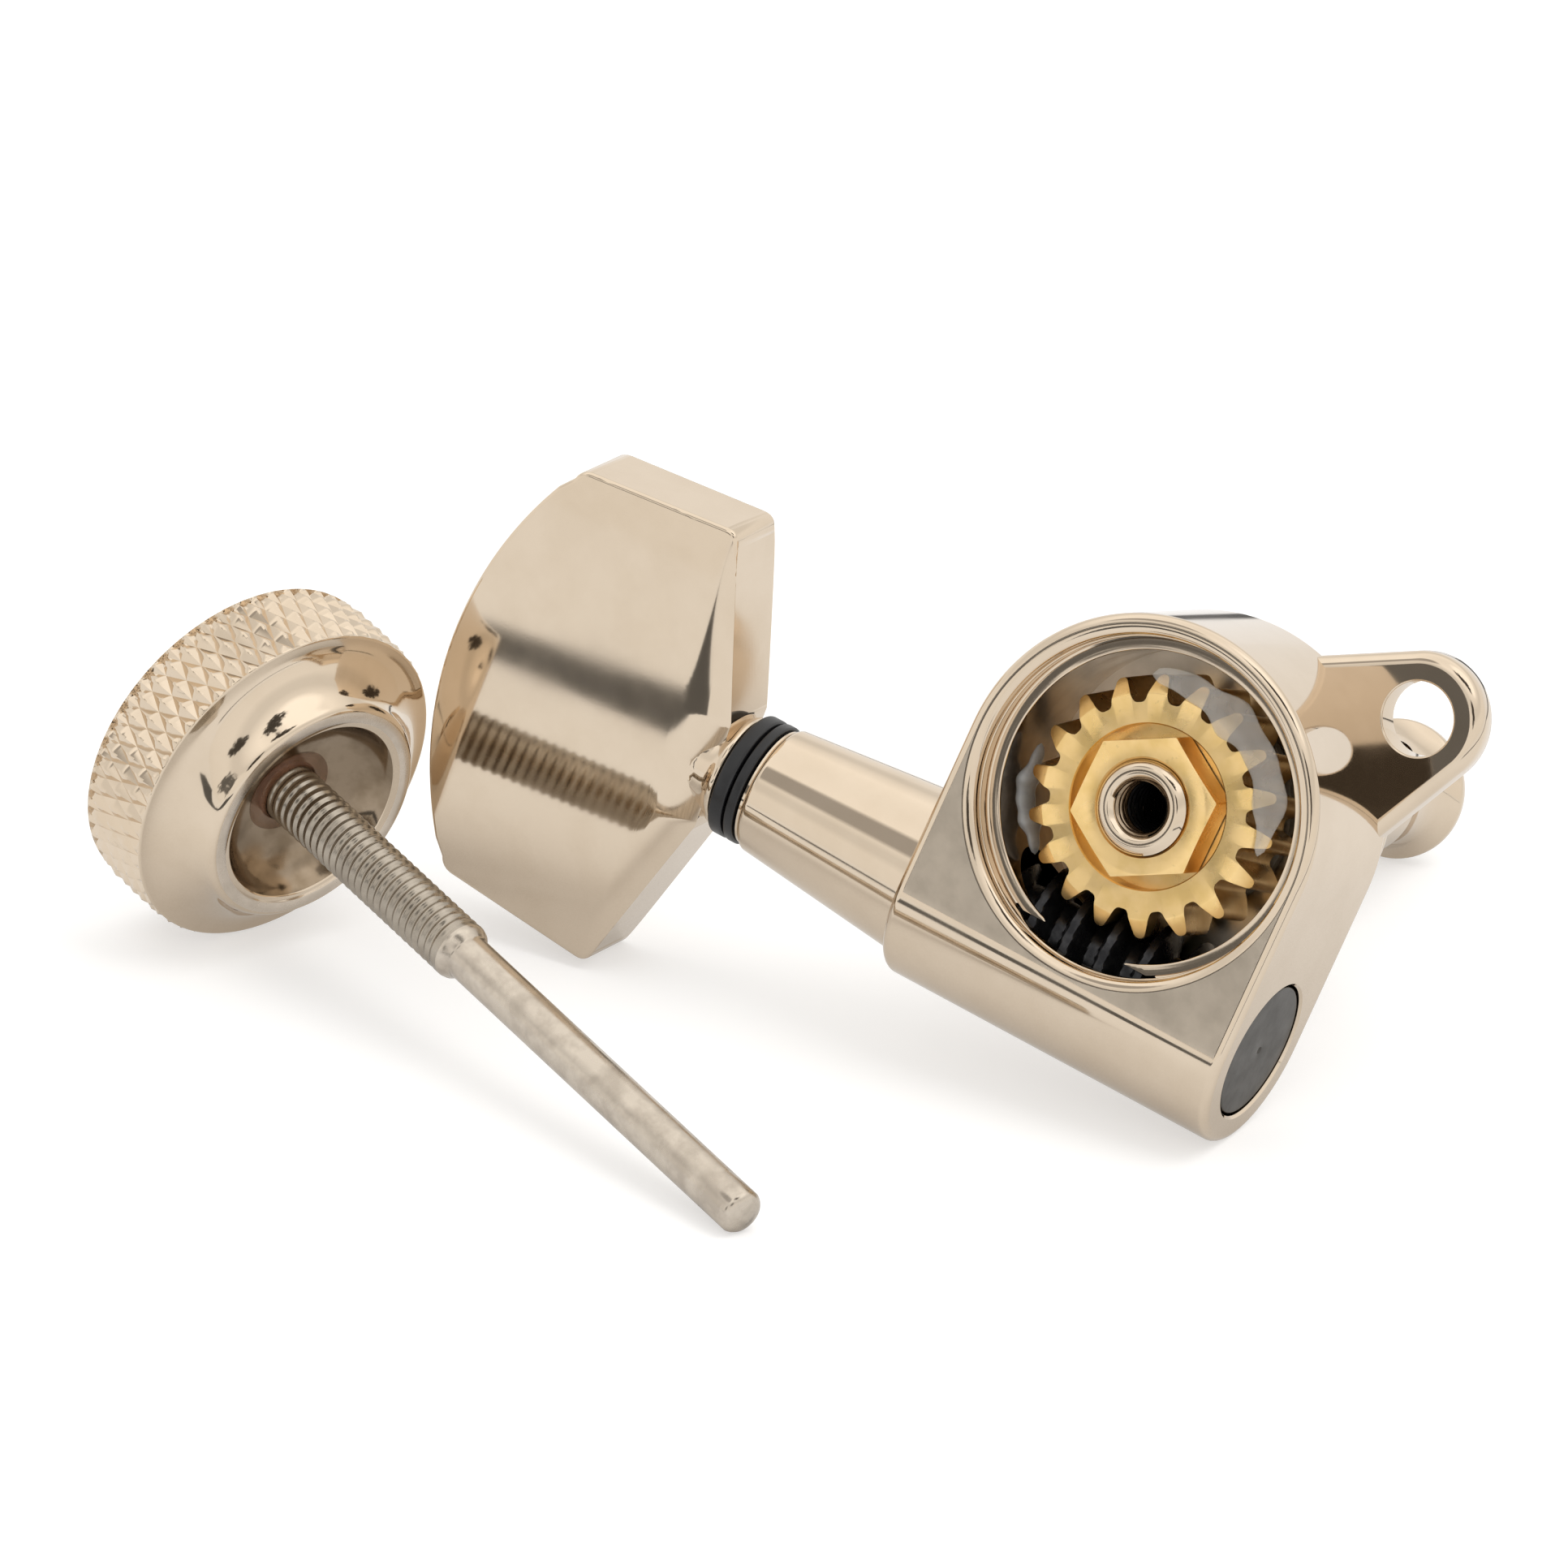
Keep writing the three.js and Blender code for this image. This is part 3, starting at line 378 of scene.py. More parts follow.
@dataclass(frozen=True)
class Finish:
    """A finish whose polish, tone and fine lines wander as on a real part.

    Attributes:
        name: The material's name.
        light: The usual base colour.
        dark: The base colour of its duller patches.
        roughness: Roughness where it is best polished.
        duller: How much rougher its dull patches are.
        metallic: 1 for metal, 0 for plastic.
        bump: Strength of the fine grain and lines.
        patches: Patches in a metre.
        grains: Grains in a metre.
        lines: Fine lines in a metre along the world's axes, after a turn.
        pits: How strongly small dark pits show.
        see_through: How much passes through it, from 0 to 1.
        toned: Values of the noise between which the dark colour comes in.
        dulled: Values of the noise between which the polish goes.
        pit_colour: The pits' colour.
        bump_height: The height in millimetres of the grain and lines at full strength.
    """

    name: str
    light: Colour
    dark: Colour
    roughness: float
    duller: float = 0.06
    metallic: float = 1.0
    bump: float = 0.0
    patches: float = 260.0
    grains: float = 9000.0
    lines: Triple = (400.0, 9000.0, 400.0)
    pits: float = 0.0
    see_through: float = 0.0
    toned: Point = (0.4, 0.65)
    dulled: Point = (0.35, 0.7)
    pit_colour: Colour = (0.03, 0.025, 0.02)
    bump_height: float = 0.02

    def build(self) -> Material:
        """Builds the material.

        Returns:
            The material, with the shared group's effects at this finish's own values.
        """
        material = bpy.data.materials.new(self.name)
        material.use_nodes = True
        nodes = Nodes(material.node_tree)
        shader = material.node_tree.nodes["Principled BSDF"]
        life = nodes.add("Group", node_tree=surface_group())
        nodes.feed(life.inputs["Vector"], nodes.add("TexCoord").outputs["Object"])
        life.inputs["Patch Scale"].default_value = self.patches
        life.inputs["Grain Scale"].default_value = self.grains
        life.inputs["Line Scale"].default_value = self.lines
        color = nodes.blend(nodes.ramp(life.outputs["Tone"], *self.toned, 0.0, 1.0), self.light, self.dark)
        if self.pits > 0:
            pitted = nodes.math("MULTIPLY", life.outputs["Pits"], self.pits)
            color = nodes.blend(pitted, color, self.pit_colour)
        nodes.feed(shader.inputs["Base Color"], color)
        rough = nodes.ramp(life.outputs["Polish"], *self.dulled, self.roughness, self.roughness + self.duller)
        nodes.feed(shader.inputs["Roughness"], rough)
        shader.inputs["Metallic"].default_value = self.metallic
        shader.inputs["Alpha"].default_value = 1.0 - self.see_through
        if self.bump > 0:
            bump = nodes.add("Bump")
            bump.inputs["Strength"].default_value = self.bump
            bump.inputs["Distance"].default_value = self.bump_height * MM
            nodes.feed(bump.inputs["Height"], life.outputs["Height"])
            nodes.feed(shader.inputs["Normal"], bump.outputs["Normal"])
        return material


@dataclass(frozen=True)
class Finishes:
    """All materials of the object."""

    polished: Material = field(default_factory=lambda: Finish(
        "polished_nickel", (0.70, 0.585, 0.455), (0.675, 0.56, 0.43), 0.05, 0.04,
        bump=0.012, patches=240.0, lines=(300.0, 7000.0, 900.0)).build())
    satin: Material = field(default_factory=lambda: Finish(
        "satin_nickel", (0.68, 0.59, 0.48), (0.60, 0.52, 0.42), 0.28, 0.05,
        bump=0.22, patches=500.0, grains=5000.0, lines=(500.0, 14000.0, 2500.0)).build())
    turned_steel: Material = field(default_factory=lambda: Finish(
        "turned_steel", (0.60, 0.53, 0.445), (0.47, 0.41, 0.34), 0.18, 0.16,
        bump=0.16, patches=600.0, grains=8000.0, lines=(2500.0, 2500.0, 12000.0)).build())
    thread_steel: Material = field(default_factory=lambda: Finish(
        "cut_steel", (0.43, 0.38, 0.315), (0.35, 0.305, 0.25), 0.2, 0.14,
        bump=0.12, patches=600.0, grains=8000.0, lines=(2500.0, 2500.0, 12000.0)).build())
    # painted shade: this darker brown nickel goes on the well's wall, the wheel's hollow and the post's bore
    # mouth; it stands for an oil film plus the shade and dark reflections in these hollows
    oil_and_shade: Material = field(default_factory=lambda: Finish(
        "oiled_shaded_nickel", (0.34, 0.265, 0.19), (0.24, 0.18, 0.12), 0.1, 0.12, bump=0.05, patches=400.0).build())
    turned_ring: Material = field(default_factory=lambda: Finish(
        "turned_nickel", (0.74, 0.65, 0.55), (0.66, 0.58, 0.485), 0.24, 0.1,
        bump=0.12, patches=500.0, grains=6000.0).build())
    black_steel: Material = field(default_factory=lambda: Finish(
        "black_steel", (0.022, 0.022, 0.024), (0.05, 0.05, 0.052), 0.22, 0.2, metallic=0.85,
        bump=0.2, patches=900.0, grains=6000.0).build())
    plug_steel: Material = field(default_factory=lambda: Finish(
        "blackened_plug", (0.085, 0.08, 0.072), (0.105, 0.099, 0.09), 0.34, 0.12, metallic=0.9,
        bump=0.25, patches=700.0, grains=5000.0, lines=(600.0, 9000.0, 9000.0)).build())
    brass: Material = field(default_factory=lambda: Finish(
        "cut_brass", (0.96, 0.69, 0.32), (0.86, 0.60, 0.24), 0.24, 0.16,
        bump=0.32, patches=420.0, grains=3600.0, lines=(900.0, 5200.0, 2600.0), pits=0.12).build())
    black_nylon: Material = field(default_factory=lambda: Finish(
        "black_nylon", (0.008, 0.008, 0.009), (0.014, 0.014, 0.015), 0.3, 0.12, metallic=0.0,
        bump=0.1).build())
    pale_nylon: Material = field(default_factory=lambda: Finish(
        "pale_nylon", (0.70, 0.68, 0.60), (0.62, 0.60, 0.53), 0.45, 0.1, metallic=0.0, bump=0.1).build())
    bronze: Material = field(default_factory=lambda: Finish(
        "sintered_bronze", (0.50, 0.32, 0.16), (0.40, 0.25, 0.12), 0.38, 0.12, bump=0.3, pits=0.4).build())
    grease: Material = field(default_factory=lambda: Finish(
        "grey_grease", (0.62, 0.64, 0.65), (0.46, 0.485, 0.50), 0.12, 0.1, metallic=0.0,
        patches=500.0, see_through=0.45).build())
    thin_grease: Material = field(default_factory=lambda: Finish(
        "thin_grease", (0.72, 0.69, 0.64), (0.56, 0.54, 0.50), 0.1, 0.1, metallic=0.0,
        patches=700.0, see_through=0.7).build())
    sealant: Material = field(default_factory=lambda: Finish(
        "red_thread_sealant", (0.38, 0.18, 0.095), (0.24, 0.11, 0.055), 0.25, 0.15, metallic=0.0,
        patches=500.0, see_through=0.6).build())


def arc(cx: float, cy: float, radius: float, start: float, end: float, steps: int) -> list[Point]:
    """Works out points on an arc.

    Args:
        cx: Centre's first coordinate.
        cy: Centre's second coordinate.
        radius: Radius.
        start: First angle in degrees.
        end: Last angle in degrees.
        steps: Number of steps.

    Returns:
        The points, both ends among them.
    """
    points = []
    for i in range(steps + 1):
        angle = math.radians(start + (end - start) * i / steps)
        points.append((cx + radius * math.cos(angle), cy + radius * math.sin(angle)))
    return points


def line(start: Point, end: Point, steps: int) -> list[Point]:
    """Works out points on a straight line.

    Args:
        start: First point.
        end: Last point.
        steps: Number of steps.

    Returns:
        The points, both ends among them.
    """
    return [(start[0] + (end[0] - start[0]) * i / steps, start[1] + (end[1] - start[1]) * i / steps)
            for i in range(steps + 1)]


def moved(points: Profile, across: float, along: float) -> list[Point]:
    """Moves a stretch of an outline.

    Args:
        points: Its points.
        across: How far they go in the first direction.
        along: How far they go in the second.

    Returns:
        The moved points.
    """
    return [(x + across, y + along) for x, y in points]


def soft_corner(before: Point, corner: Point, after: Point, reach: float) -> list[Point]:
    """Rounds a corner of an outline.

    Args:
        before: The point before the corner.
        corner: The corner.
        after: The point after it.
        reach: How far from the corner the round begins.

    Returns:
        The points of the round.
    """
    steps = 6
    here = Vector(corner)
    back = here + (Vector(before) - here).normalized() * reach
    on = here + (Vector(after) - here).normalized() * reach
    points = []
    for i in range(steps + 1):
        t = i / steps
        spot = back * (1 - t) ** 2 + here * 2 * t * (1 - t) + on * t ** 2
        points.append((spot.x, spot.y))
    return points


def tidy(bm: Mesh, distance: float = SAME) -> Mesh:
    """Merges doubles, drops empty faces and turns all faces outwards.

    Args:
        bm: The mesh.
        distance: How close doubles lie.

    Returns:
        The same mesh.
    """
    bmesh.ops.remove_doubles(bm, verts=bm.verts, dist=distance)
    bmesh.ops.dissolve_degenerate(bm, edges=bm.edges, dist=distance)
    bmesh.ops.recalc_face_normals(bm, faces=bm.faces)
    return bm


def turned(profile: Profile, sides: int = 96) -> Mesh:
    """Spins a profile of (radius, height) points round Z into a closed solid.

    Args:
        profile: Points that start and end on the axis, or that close on themselves.
        sides: Steps of the turn.

    Returns:
        The solid.
    """
    bm = bmesh.new()
    verts = [bm.verts.new((r, 0.0, z)) for r, z in profile]
    edges = [bm.edges.new(pair) for pair in zip(verts, verts[1:])]
    if profile[0][0] > 0.0:
        edges.append(bm.edges.new((verts[-1], verts[0])))
    bmesh.ops.spin(
        bm, geom=verts + edges, cent=(0, 0, 0), axis=(0, 0, 1), angle=2 * math.pi, steps=sides,
        use_merge=True,
    )
    return tidy(bm)


def along_x(bm: Mesh) -> Mesh:
    """Lays a solid turned round Z along the worm's axis.

    Args:
        bm: The mesh.

    Returns:
        The same mesh.
    """
    spot = Matrix.Translation((0, SIZES.worm_offset, SIZES.worm_height))
    bmesh.ops.transform(bm, matrix=spot @ Matrix.Rotation(math.pi / 2, 4, "Y"), verts=bm.verts)
    return bm


def swollen(bm: Mesh, rise: Callable[[float, float, float], float]) -> Mesh:
    """Moves the vertices of a solid turned round Z in or out.

    Args:
        bm: The mesh.
        rise: Gives the change of radius from the angle in radians, the height and the radius.

    Returns:
        The same mesh.
    """
    for vert in bm.verts:
        radius = math.hypot(vert.co.x, vert.co.y)
        if radius < SAME:
            continue
        angle = math.atan2(vert.co.y, vert.co.x)
        share = 1.0 + rise(angle, vert.co.z, radius) / radius
        vert.co.x *= share
        vert.co.y *= share
    return bm


def round_edges(bm: Mesh, edges: Iterable[bmesh.types.BMEdge], width: float, segments: int) -> None:
    """Rounds edges.

    Args:
        bm: The mesh.
        edges: The edges.
        width: Offset of the rounding.
        segments: Its steps.
    """
    bmesh.ops.bevel(
        bm, geom=list(edges), offset=width, offset_type="OFFSET", affect="EDGES",
        segments=segments, profile=0.5, material=-1, clamp_overlap=True,
    )


def extruded(outline: Profile, low: float, high: float) -> Mesh:
    """Extrudes an outline along Z.

    Args:
        outline: Points in the XY plane.
        low: Bottom height.
        high: Top height.

    Returns:
        The solid.
    """
    bm = bmesh.new()
    face = bm.faces.new([bm.verts.new((x, y, low)) for x, y in outline])
    grown = bmesh.ops.extrude_face_region(bm, geom=[face])
    top = [v for v in grown["geom"] if isinstance(v, bmesh.types.BMVert)]
    bmesh.ops.translate(bm, vec=(0, 0, high - low), verts=top)
    bmesh.ops.recalc_face_normals(bm, faces=bm.faces)
    return bm


def hexagon(corner: float, low: float, high: float, turn: float, soft: float, segments: int) -> Mesh:
    """Builds an upright bar with six sides, its upright edges rounded.

    Args:
        corner: Distance from its axis to its corners.
        low: Bottom height.
        high: Top height.
        turn: Its turn about its axis in degrees.
        soft: Offset of the rounding.
        segments: The rounding's steps.

    Returns:
        The bar.
    """
    middle = Matrix.Translation((0, 0, (low + high) / 2))
    bm = bmesh.new()
    bmesh.ops.create_cone(
        bm, cap_ends=True, segments=6, radius1=corner, radius2=corner, depth=high - low,
        matrix=middle @ Matrix.Rotation(math.radians(turn), 4, "Z"),
    )
    upright = [e for e in bm.edges if abs(e.verts[0].co.z - e.verts[1].co.z) > (high - low) / 2]
    round_edges(bm, upright, soft, segments)
    return bm


def score(bm: Mesh, place: Triple, normal: Triple) -> None:
    """Cuts new edges through a mesh along a plane.

    Args:
        bm: The mesh.
        place: A point of the plane.
        normal: The plane's normal.
    """
    geometry = [*bm.verts, *bm.edges, *bm.faces]
    bmesh.ops.bisect_plane(bm, geom=geometry, dist=1e-6, plane_co=place, plane_no=normal)


def rim_edges(bm: Mesh, heights: Sequence[float]) -> list[bmesh.types.BMEdge]:
    """Finds the edges that lie flat at given heights and bound a side.

    Args:
        bm: The mesh.
        heights: The heights.

    Returns:
        The edges.
    """
    sharp = math.radians(40)
    return [
        edge for edge in bm.edges
        if any(all(abs(v.co.z - height) < SAME for v in edge.verts) for height in heights)
        and edge.calc_face_angle(0.0) > sharp
    ]


def as_mesh(bm: Mesh, name: str) -> bpy.types.Mesh:
    """Turns a bmesh into a mesh and frees it.

    Args:
        bm: The mesh.
        name: The new mesh's name.

    Returns:
        The new mesh.
    """
    mesh = bpy.data.meshes.new(name)
    bm.to_mesh(mesh)
    bm.free()
    return mesh


def carve(name: str, base: Mesh, steps: Sequence[tuple[str, Mesh]]) -> Mesh:
    """Joins to a solid, or takes from it, other solids.

    Args:
        name: A name for the working objects.
        base: The solid to start from.
        steps: Pairs of UNION, DIFFERENCE or INTERSECT and the other solid.

    Returns:
        The resulting solid.
    """
    scene = bpy.context.scene
    target = bpy.data.objects.new(name, as_mesh(base, name))
    scene.collection.objects.link(target)
    for index, (operation, other) in enumerate(steps):
        tool = bpy.data.objects.new(f"{name}_tool_{index}", as_mesh(other, name + "_tool"))
        scene.collection.objects.link(tool)
        modifier = target.modifiers.new("cut", "BOOLEAN")
        modifier.operation = operation
        modifier.solver = "EXACT"
        modifier.object = tool
        bpy.context.view_layer.update()
        graph = bpy.context.evaluated_depsgraph_get()
        result = bpy.data.meshes.new_from_object(target.evaluated_get(graph))
        target.modifiers.clear()
        old = target.data
        target.data = result
        bpy.data.meshes.remove(old)
        bpy.data.objects.remove(tool)
    bm = bmesh.new()
    bm.from_mesh(target.data)
    bpy.data.objects.remove(target)
    return tidy(bm, 2 * SAME)


@dataclass
class Piece:
    """One visible piece and how it is shown.

    Attributes:
        name: Its object's name.
        body: The body that it rides on.
        slot: The record's slot of its finish; not used.
        materials: Its material, and others that paint may pick.
        replaces: CAD nodes that it stands for.
        sharp: Angle in degrees from which its edges stay sharp.
        paint: Gives a face's material index from its middle and normal in the local frame.
    """

    name: str
    body: Body
    slot: Slot
    materials: Sequence[Material]
    replaces: Sequence[str] = ()
    sharp: float = 32.0
    paint: Optional[Callable[[Vector, Vector], int]] = None

    def show(self, bm: Mesh, placement: Placement) -> bpy.types.Object:
        """Places a mesh made in local millimetres and attaches it to its body.

        Args:
            bm: The mesh.
            placement: The frame that it was made in.

        Returns:
            The shown object.
        """
        bm.normal_update()
        if self.paint is not None:
            for face in bm.faces:
                face.material_index = self.paint(face.calc_center_median(), face.normal)
        bmesh.ops.transform(bm, matrix=placement.matrix(), verts=bm.verts)
        bm.normal_update()
        limit = math.radians(self.sharp)
        for face in bm.faces:
            face.smooth = True
        for edge in bm.edges:
            edge.smooth = len(edge.link_faces) == 2 and edge.calc_face_angle(0.0) < limit
        shown = bpy.data.objects.new(self.name, as_mesh(bm, self.name))
        bpy.context.scene.collection.objects.link(shown)
        for material in self.materials:
            shown.data.materials.append(material)
        weigh_normals(shown)
        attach(shown, self.body.value)
        for node in self.replaces:
            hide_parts(node)
        log.info("%s: %d faces", self.name, len(shown.data.polygons))
        return shown


def weigh_normals(shown: bpy.types.Object) -> None:
    """Gives flat faces straight normals beside their rounded edges.

    Args:
        shown: The object.
    """
    modifier = shown.modifiers.new("normals", "WEIGHTED_NORMAL")
    modifier.keep_sharp = True
    modifier.weight = 50
    bpy.context.view_layer.update()
    graph = bpy.context.evaluated_depsgraph_get()
    mesh = bpy.data.meshes.new_from_object(shown.evaluated_get(graph))
    shown.modifiers.clear()
    old = shown.data
    shown.data = mesh
    bpy.data.meshes.remove(old)
    mesh.name = shown.name


@dataclass
class Casing:
    """The plated housing, the plug of its worm bore and the washers at its neck."""

    place: Placement
    finishes: Finishes
    fillet: float = 0.45
    neck_root: float = 4.05
    neck_tip: float = 3.1
    neck_round: float = 0.34
    neck_lip: float = 2.92
    neck_lip_length: float = 0.14
    neck_lip_soft: float = 0.03
    ear_reach: float = 11.65
    ear_tip: float = 3.15
    ear_flare: float = 17.0
    ear_angle: float = 226.2
    ear_thickness: float = 1.5
    ear_round: float = 0.62
    ear_round_below: float = 0.12
    ear_hole: float = 1.75
    ear_hole_soft: float = 0.1
    boss: float = 4.95
    boss_chamfer: float = 0.35
    boss_bore: float = 3.95
    floor_hole: float = 3.7
    well_soft: float = 0.09
    seat_step: float = 0.13
    seat_step_soft: float = 0.06
    seat_groove: Profile = ((-0.12, 0.0), (-0.08, -0.07), (0.0, -0.05))
    seat_ledge: Profile = ((-0.02, -0.04), (0.0, 0.0))
    seat_mouth: Profile = ((0.0, -0.3), (0.05, -0.22), (0.12, -0.16), (0.5, 0.0))
    bore_chamfer: float = 0.12
    bore_end: float = 6.6
    shaft_hole: float = 2.4
    plug_recess: float = 0.12
    plug_thickness: float = 1.9
    plug_play: float = 0.13
    plug_soft: float = 0.1
    plug_mark: Profile = ((0.0, 0.2), (0.1, 0.12), (0.2, 0.01), (0.24, 0.0))
    plug_face: Profile = ((1.0, -0.012), (2.0, -0.004))
    plug_hollow: float = 1.38
    plug_hollow_depth: float = 1.3
    washer: float = 3.05
    washer_bore: float = 1.73
    washer_gap: float = 0.12
    inner_washer: float = 0.5
    inner_washer_soft: float = 0.1
    outer_washer: float = 0.75
    outer_washer_soft: float = 0.14

    def body(self) -> Mesh:
        """Builds the housing's outer form: round at the top, a barrel round the worm below.

        Returns:
            The solid form, not yet hollowed.
        """
        s = SIZES
        plan = arc(0.0, 0.0, s.radius, 180.0, 360.0, 72)
        bm = extruded([*plan, (s.radius, s.worm_offset), (-s.radius, s.worm_offset)], 0.0, s.depth)
        end = [f for f in bm.faces if all(abs(v.co.y - s.worm_offset) < SAME for v in f.verts)]
        bmesh.ops.delete(bm, geom=end, context="FACES_ONLY")
        back = [
            e for e in bm.edges
            if all(abs(v.co.y - s.worm_offset) < SAME and v.co.z > s.depth - SAME for v in e.verts)
        ]
        bmesh.ops.spin(
            bm, geom=back + list({v for e in back for v in e.verts}), cent=(0, s.worm_offset, s.worm_height),
            axis=(1, 0, 0), angle=-math.pi, steps=40, use_merge=False,
        )
        bmesh.ops.remove_doubles(bm, verts=bm.verts, dist=NEAR)
        open_edges = [e for e in bm.edges if e.is_boundary]
        bmesh.ops.holes_fill(bm, edges=open_edges, sides=0)
        flat, sharp = math.radians(0.5), math.radians(60)
        bmesh.ops.dissolve_limit(bm, angle_limit=flat, verts=bm.verts, edges=bm.edges)
        bmesh.ops.recalc_face_normals(bm, faces=bm.faces)
        bm.normal_update()
        round_edges(bm, [e for e in bm.edges if e.calc_face_angle(0.0) > sharp], self.fillet, 5)
        return tidy(bm)

    def neck(self) -> Mesh:
        """Builds the tapered neck with its soft end and the small lip against the washers.

        Returns:
            The neck, its root sunk in the body.
        """
        s = SIZES
        slope = (self.neck_root - self.neck_tip) / (s.neck_end - s.radius)
        end = s.neck_end - self.neck_lip_length
        start = self.neck_tip + slope * (self.neck_round + self.neck_lip_length)
        sunk = s.radius - OVERRUN
        lip, soft = self.neck_lip, self.neck_lip_soft
        profile = [(0, sunk), (self.neck_root + slope * OVERRUN, sunk)]
        profile += arc(start - self.neck_round, end - self.neck_round, self.neck_round, 0, 80, 8)
        profile += [(lip - soft, end), (lip, end + soft), (lip, s.neck_end), (0, s.neck_end)]
        return along_x(turned(profile, 128))

    def ear(self) -> Mesh:
        """Builds the screw ear with its hole.

        Returns:
            The ear, turned to where it stands beside the neck.
        """
        flare = math.radians(self.ear_flare)
        root = (self.ear_tip + self.ear_reach * math.sin(flare)) / math.cos(flare)
        tip = arc(self.ear_reach, 0.0, self.ear_tip, self.ear_flare - 90, 90 - self.ear_flare, 48)
        top = self.ear_thickness
        bm = extruded([(0.0, -root), *tip, (0.0, root)], 0.0, top)
        bm.normal_update()
        for height, width, segments in ((top, self.ear_round, 6), (0.0, self.ear_round_below, 2)):
            free = [e for e in rim_edges(bm, [height]) if max(v.co.x for v in e.verts) > SAME]
            round_edges(bm, free, width, segments)
        tidy(bm)
        soft = self.ear_hole_soft
        hole = turned([
            (0, -OVERRUN), (self.ear_hole, -OVERRUN),
            *arc(self.ear_hole + soft, top - soft, soft, 180, 90, 4),
            (self.ear_hole + soft, top + OVERRUN), (0, top + OVERRUN),
        ], 72)
        bmesh.ops.translate(hole, vec=(self.ear_reach, 0, 0), verts=hole.verts)
        bm = carve("ear", bm, [("DIFFERENCE", hole)])
        turn = Matrix.Rotation(math.radians(self.ear_angle), 3, "Z")
        bmesh.ops.rotate(bm, cent=(0, 0, 0), matrix=turn, verts=bm.verts)
        return bm

    def well(self) -> Mesh:
        """Builds what is cut for the gear: the well, its ledges, and the grooved seat of the wheel's rim.

        Returns:
            The cutting solid.
        """
        s = SIZES
        ledge = s.depth - s.seat_depth
        middle = s.depth - s.seat_depth / 2
        inner = s.seat - self.seat_step
        soft, round_off = self.well_soft, self.seat_step_soft
        profile = [(0, s.floor), (s.well, s.floor)]
        profile += arc(s.well + soft, ledge - soft, soft, 180, 90, 4)
        profile += moved(self.seat_groove, inner, ledge)
        profile += arc(inner + round_off, middle - round_off, round_off, 180, 90, 3)
        profile += moved(self.seat_ledge, s.seat, middle)
        profile += moved(self.seat_mouth, s.seat, s.depth)
        profile += [(s.seat + 3 * OVERRUN, s.depth + OVERRUN), (0, s.depth + OVERRUN)]
        return turned(profile, 160)

    def shell(self) -> Mesh:
        """Builds the whole housing.

        Returns:
            The housing, hollowed for the gear, the worm and the post.
        """
        s = SIZES
        low = -s.boss_length
        boss = turned([
            (0, low), (self.boss - self.boss_chamfer, low), (self.boss, low + self.boss_chamfer),
            (self.boss, s.floor / 2), (0, s.floor / 2),
        ], 96)
        mouth, past_neck = -s.radius - OVERRUN, s.neck_end + OVERRUN
        bore = along_x(turned([
            (0, mouth), (s.worm_bore + self.bore_chamfer + OVERRUN, mouth),
            (s.worm_bore, self.bore_chamfer - s.radius), (s.worm_bore, self.bore_end),
            (self.shaft_hole, self.bore_end), (self.shaft_hole, past_neck), (0, past_neck),
        ], 96))
        post = turned([
            (0, low - OVERRUN), (self.boss_bore, low - OVERRUN), (self.boss_bore, 0),
            (self.floor_hole, 0), (self.floor_hole, s.floor + OVERRUN), (0, s.floor + OVERRUN),
        ], 72)
        return carve("housing", self.body(), [
            ("UNION", self.neck()), ("UNION", boss), ("UNION", self.ear()),
            ("DIFFERENCE", self.well()), ("DIFFERENCE", bore), ("DIFFERENCE", post),
        ])

    def plug(self) -> Mesh:
        """Builds the blackened plug with its centre mark.

        Returns:
            The plug, hollow behind.
        """
        s = SIZES
        outer = self.plug_recess - s.radius
        edge = s.worm_bore - self.plug_play
        inner = outer + self.plug_thickness
        soft = self.plug_soft
        hollow, bottom = self.plug_hollow, inner - self.plug_hollow_depth
        rings = moved([*self.plug_mark, *self.plug_face, (edge - 1.4 * soft, 0.0)], 0.0, outer)
        rings += arc(edge - soft, outer + soft, soft, -70, 0, 4)
        return along_x(turned([*rings, (edge, inner), (hollow, inner), (hollow, bottom), (0, bottom)], 96))

    def neck_washer(self, start: float, thickness: float, soft: float) -> Mesh:
        """Builds a washer at the neck.

        Args:
            start: Where it begins along the shaft.
            thickness: Its thickness.
            soft: Radius of its outer edges.

        Returns:
            The washer.
        """
        end = start + thickness
        profile = [(self.washer_bore, start), *arc(self.washer - soft, start + soft, soft, -90, 0, 5)]
        profile += [*arc(self.washer - soft, end - soft, soft, 0, 90, 5), (self.washer_bore, end)]
        return along_x(turned(profile, 96))

    def finish_at(self, middle: Vector, normal: Vector) -> int:
        """Picks the satin finish on the flat back and the well's floor, and on the well's wall the darker
        oil-and-shade finish, which paints the well's shade.

        Args:
            middle: The face's middle.
            normal: The face's outward direction.

        Returns:
            The finish's place in the shell's list.
        """
        s = SIZES
        below_seat = s.depth - s.seat_depth - 5 * HAIR
        inside = middle.xy.length < s.well + HAIR and s.floor - HAIR < middle.z < below_seat
        if normal.z > LEVEL and (inside or middle.z > s.depth - HAIR):
            return 1
        # painted shade: the well's wall takes the darker oil-and-shade finish
        return 2 if inside else 0

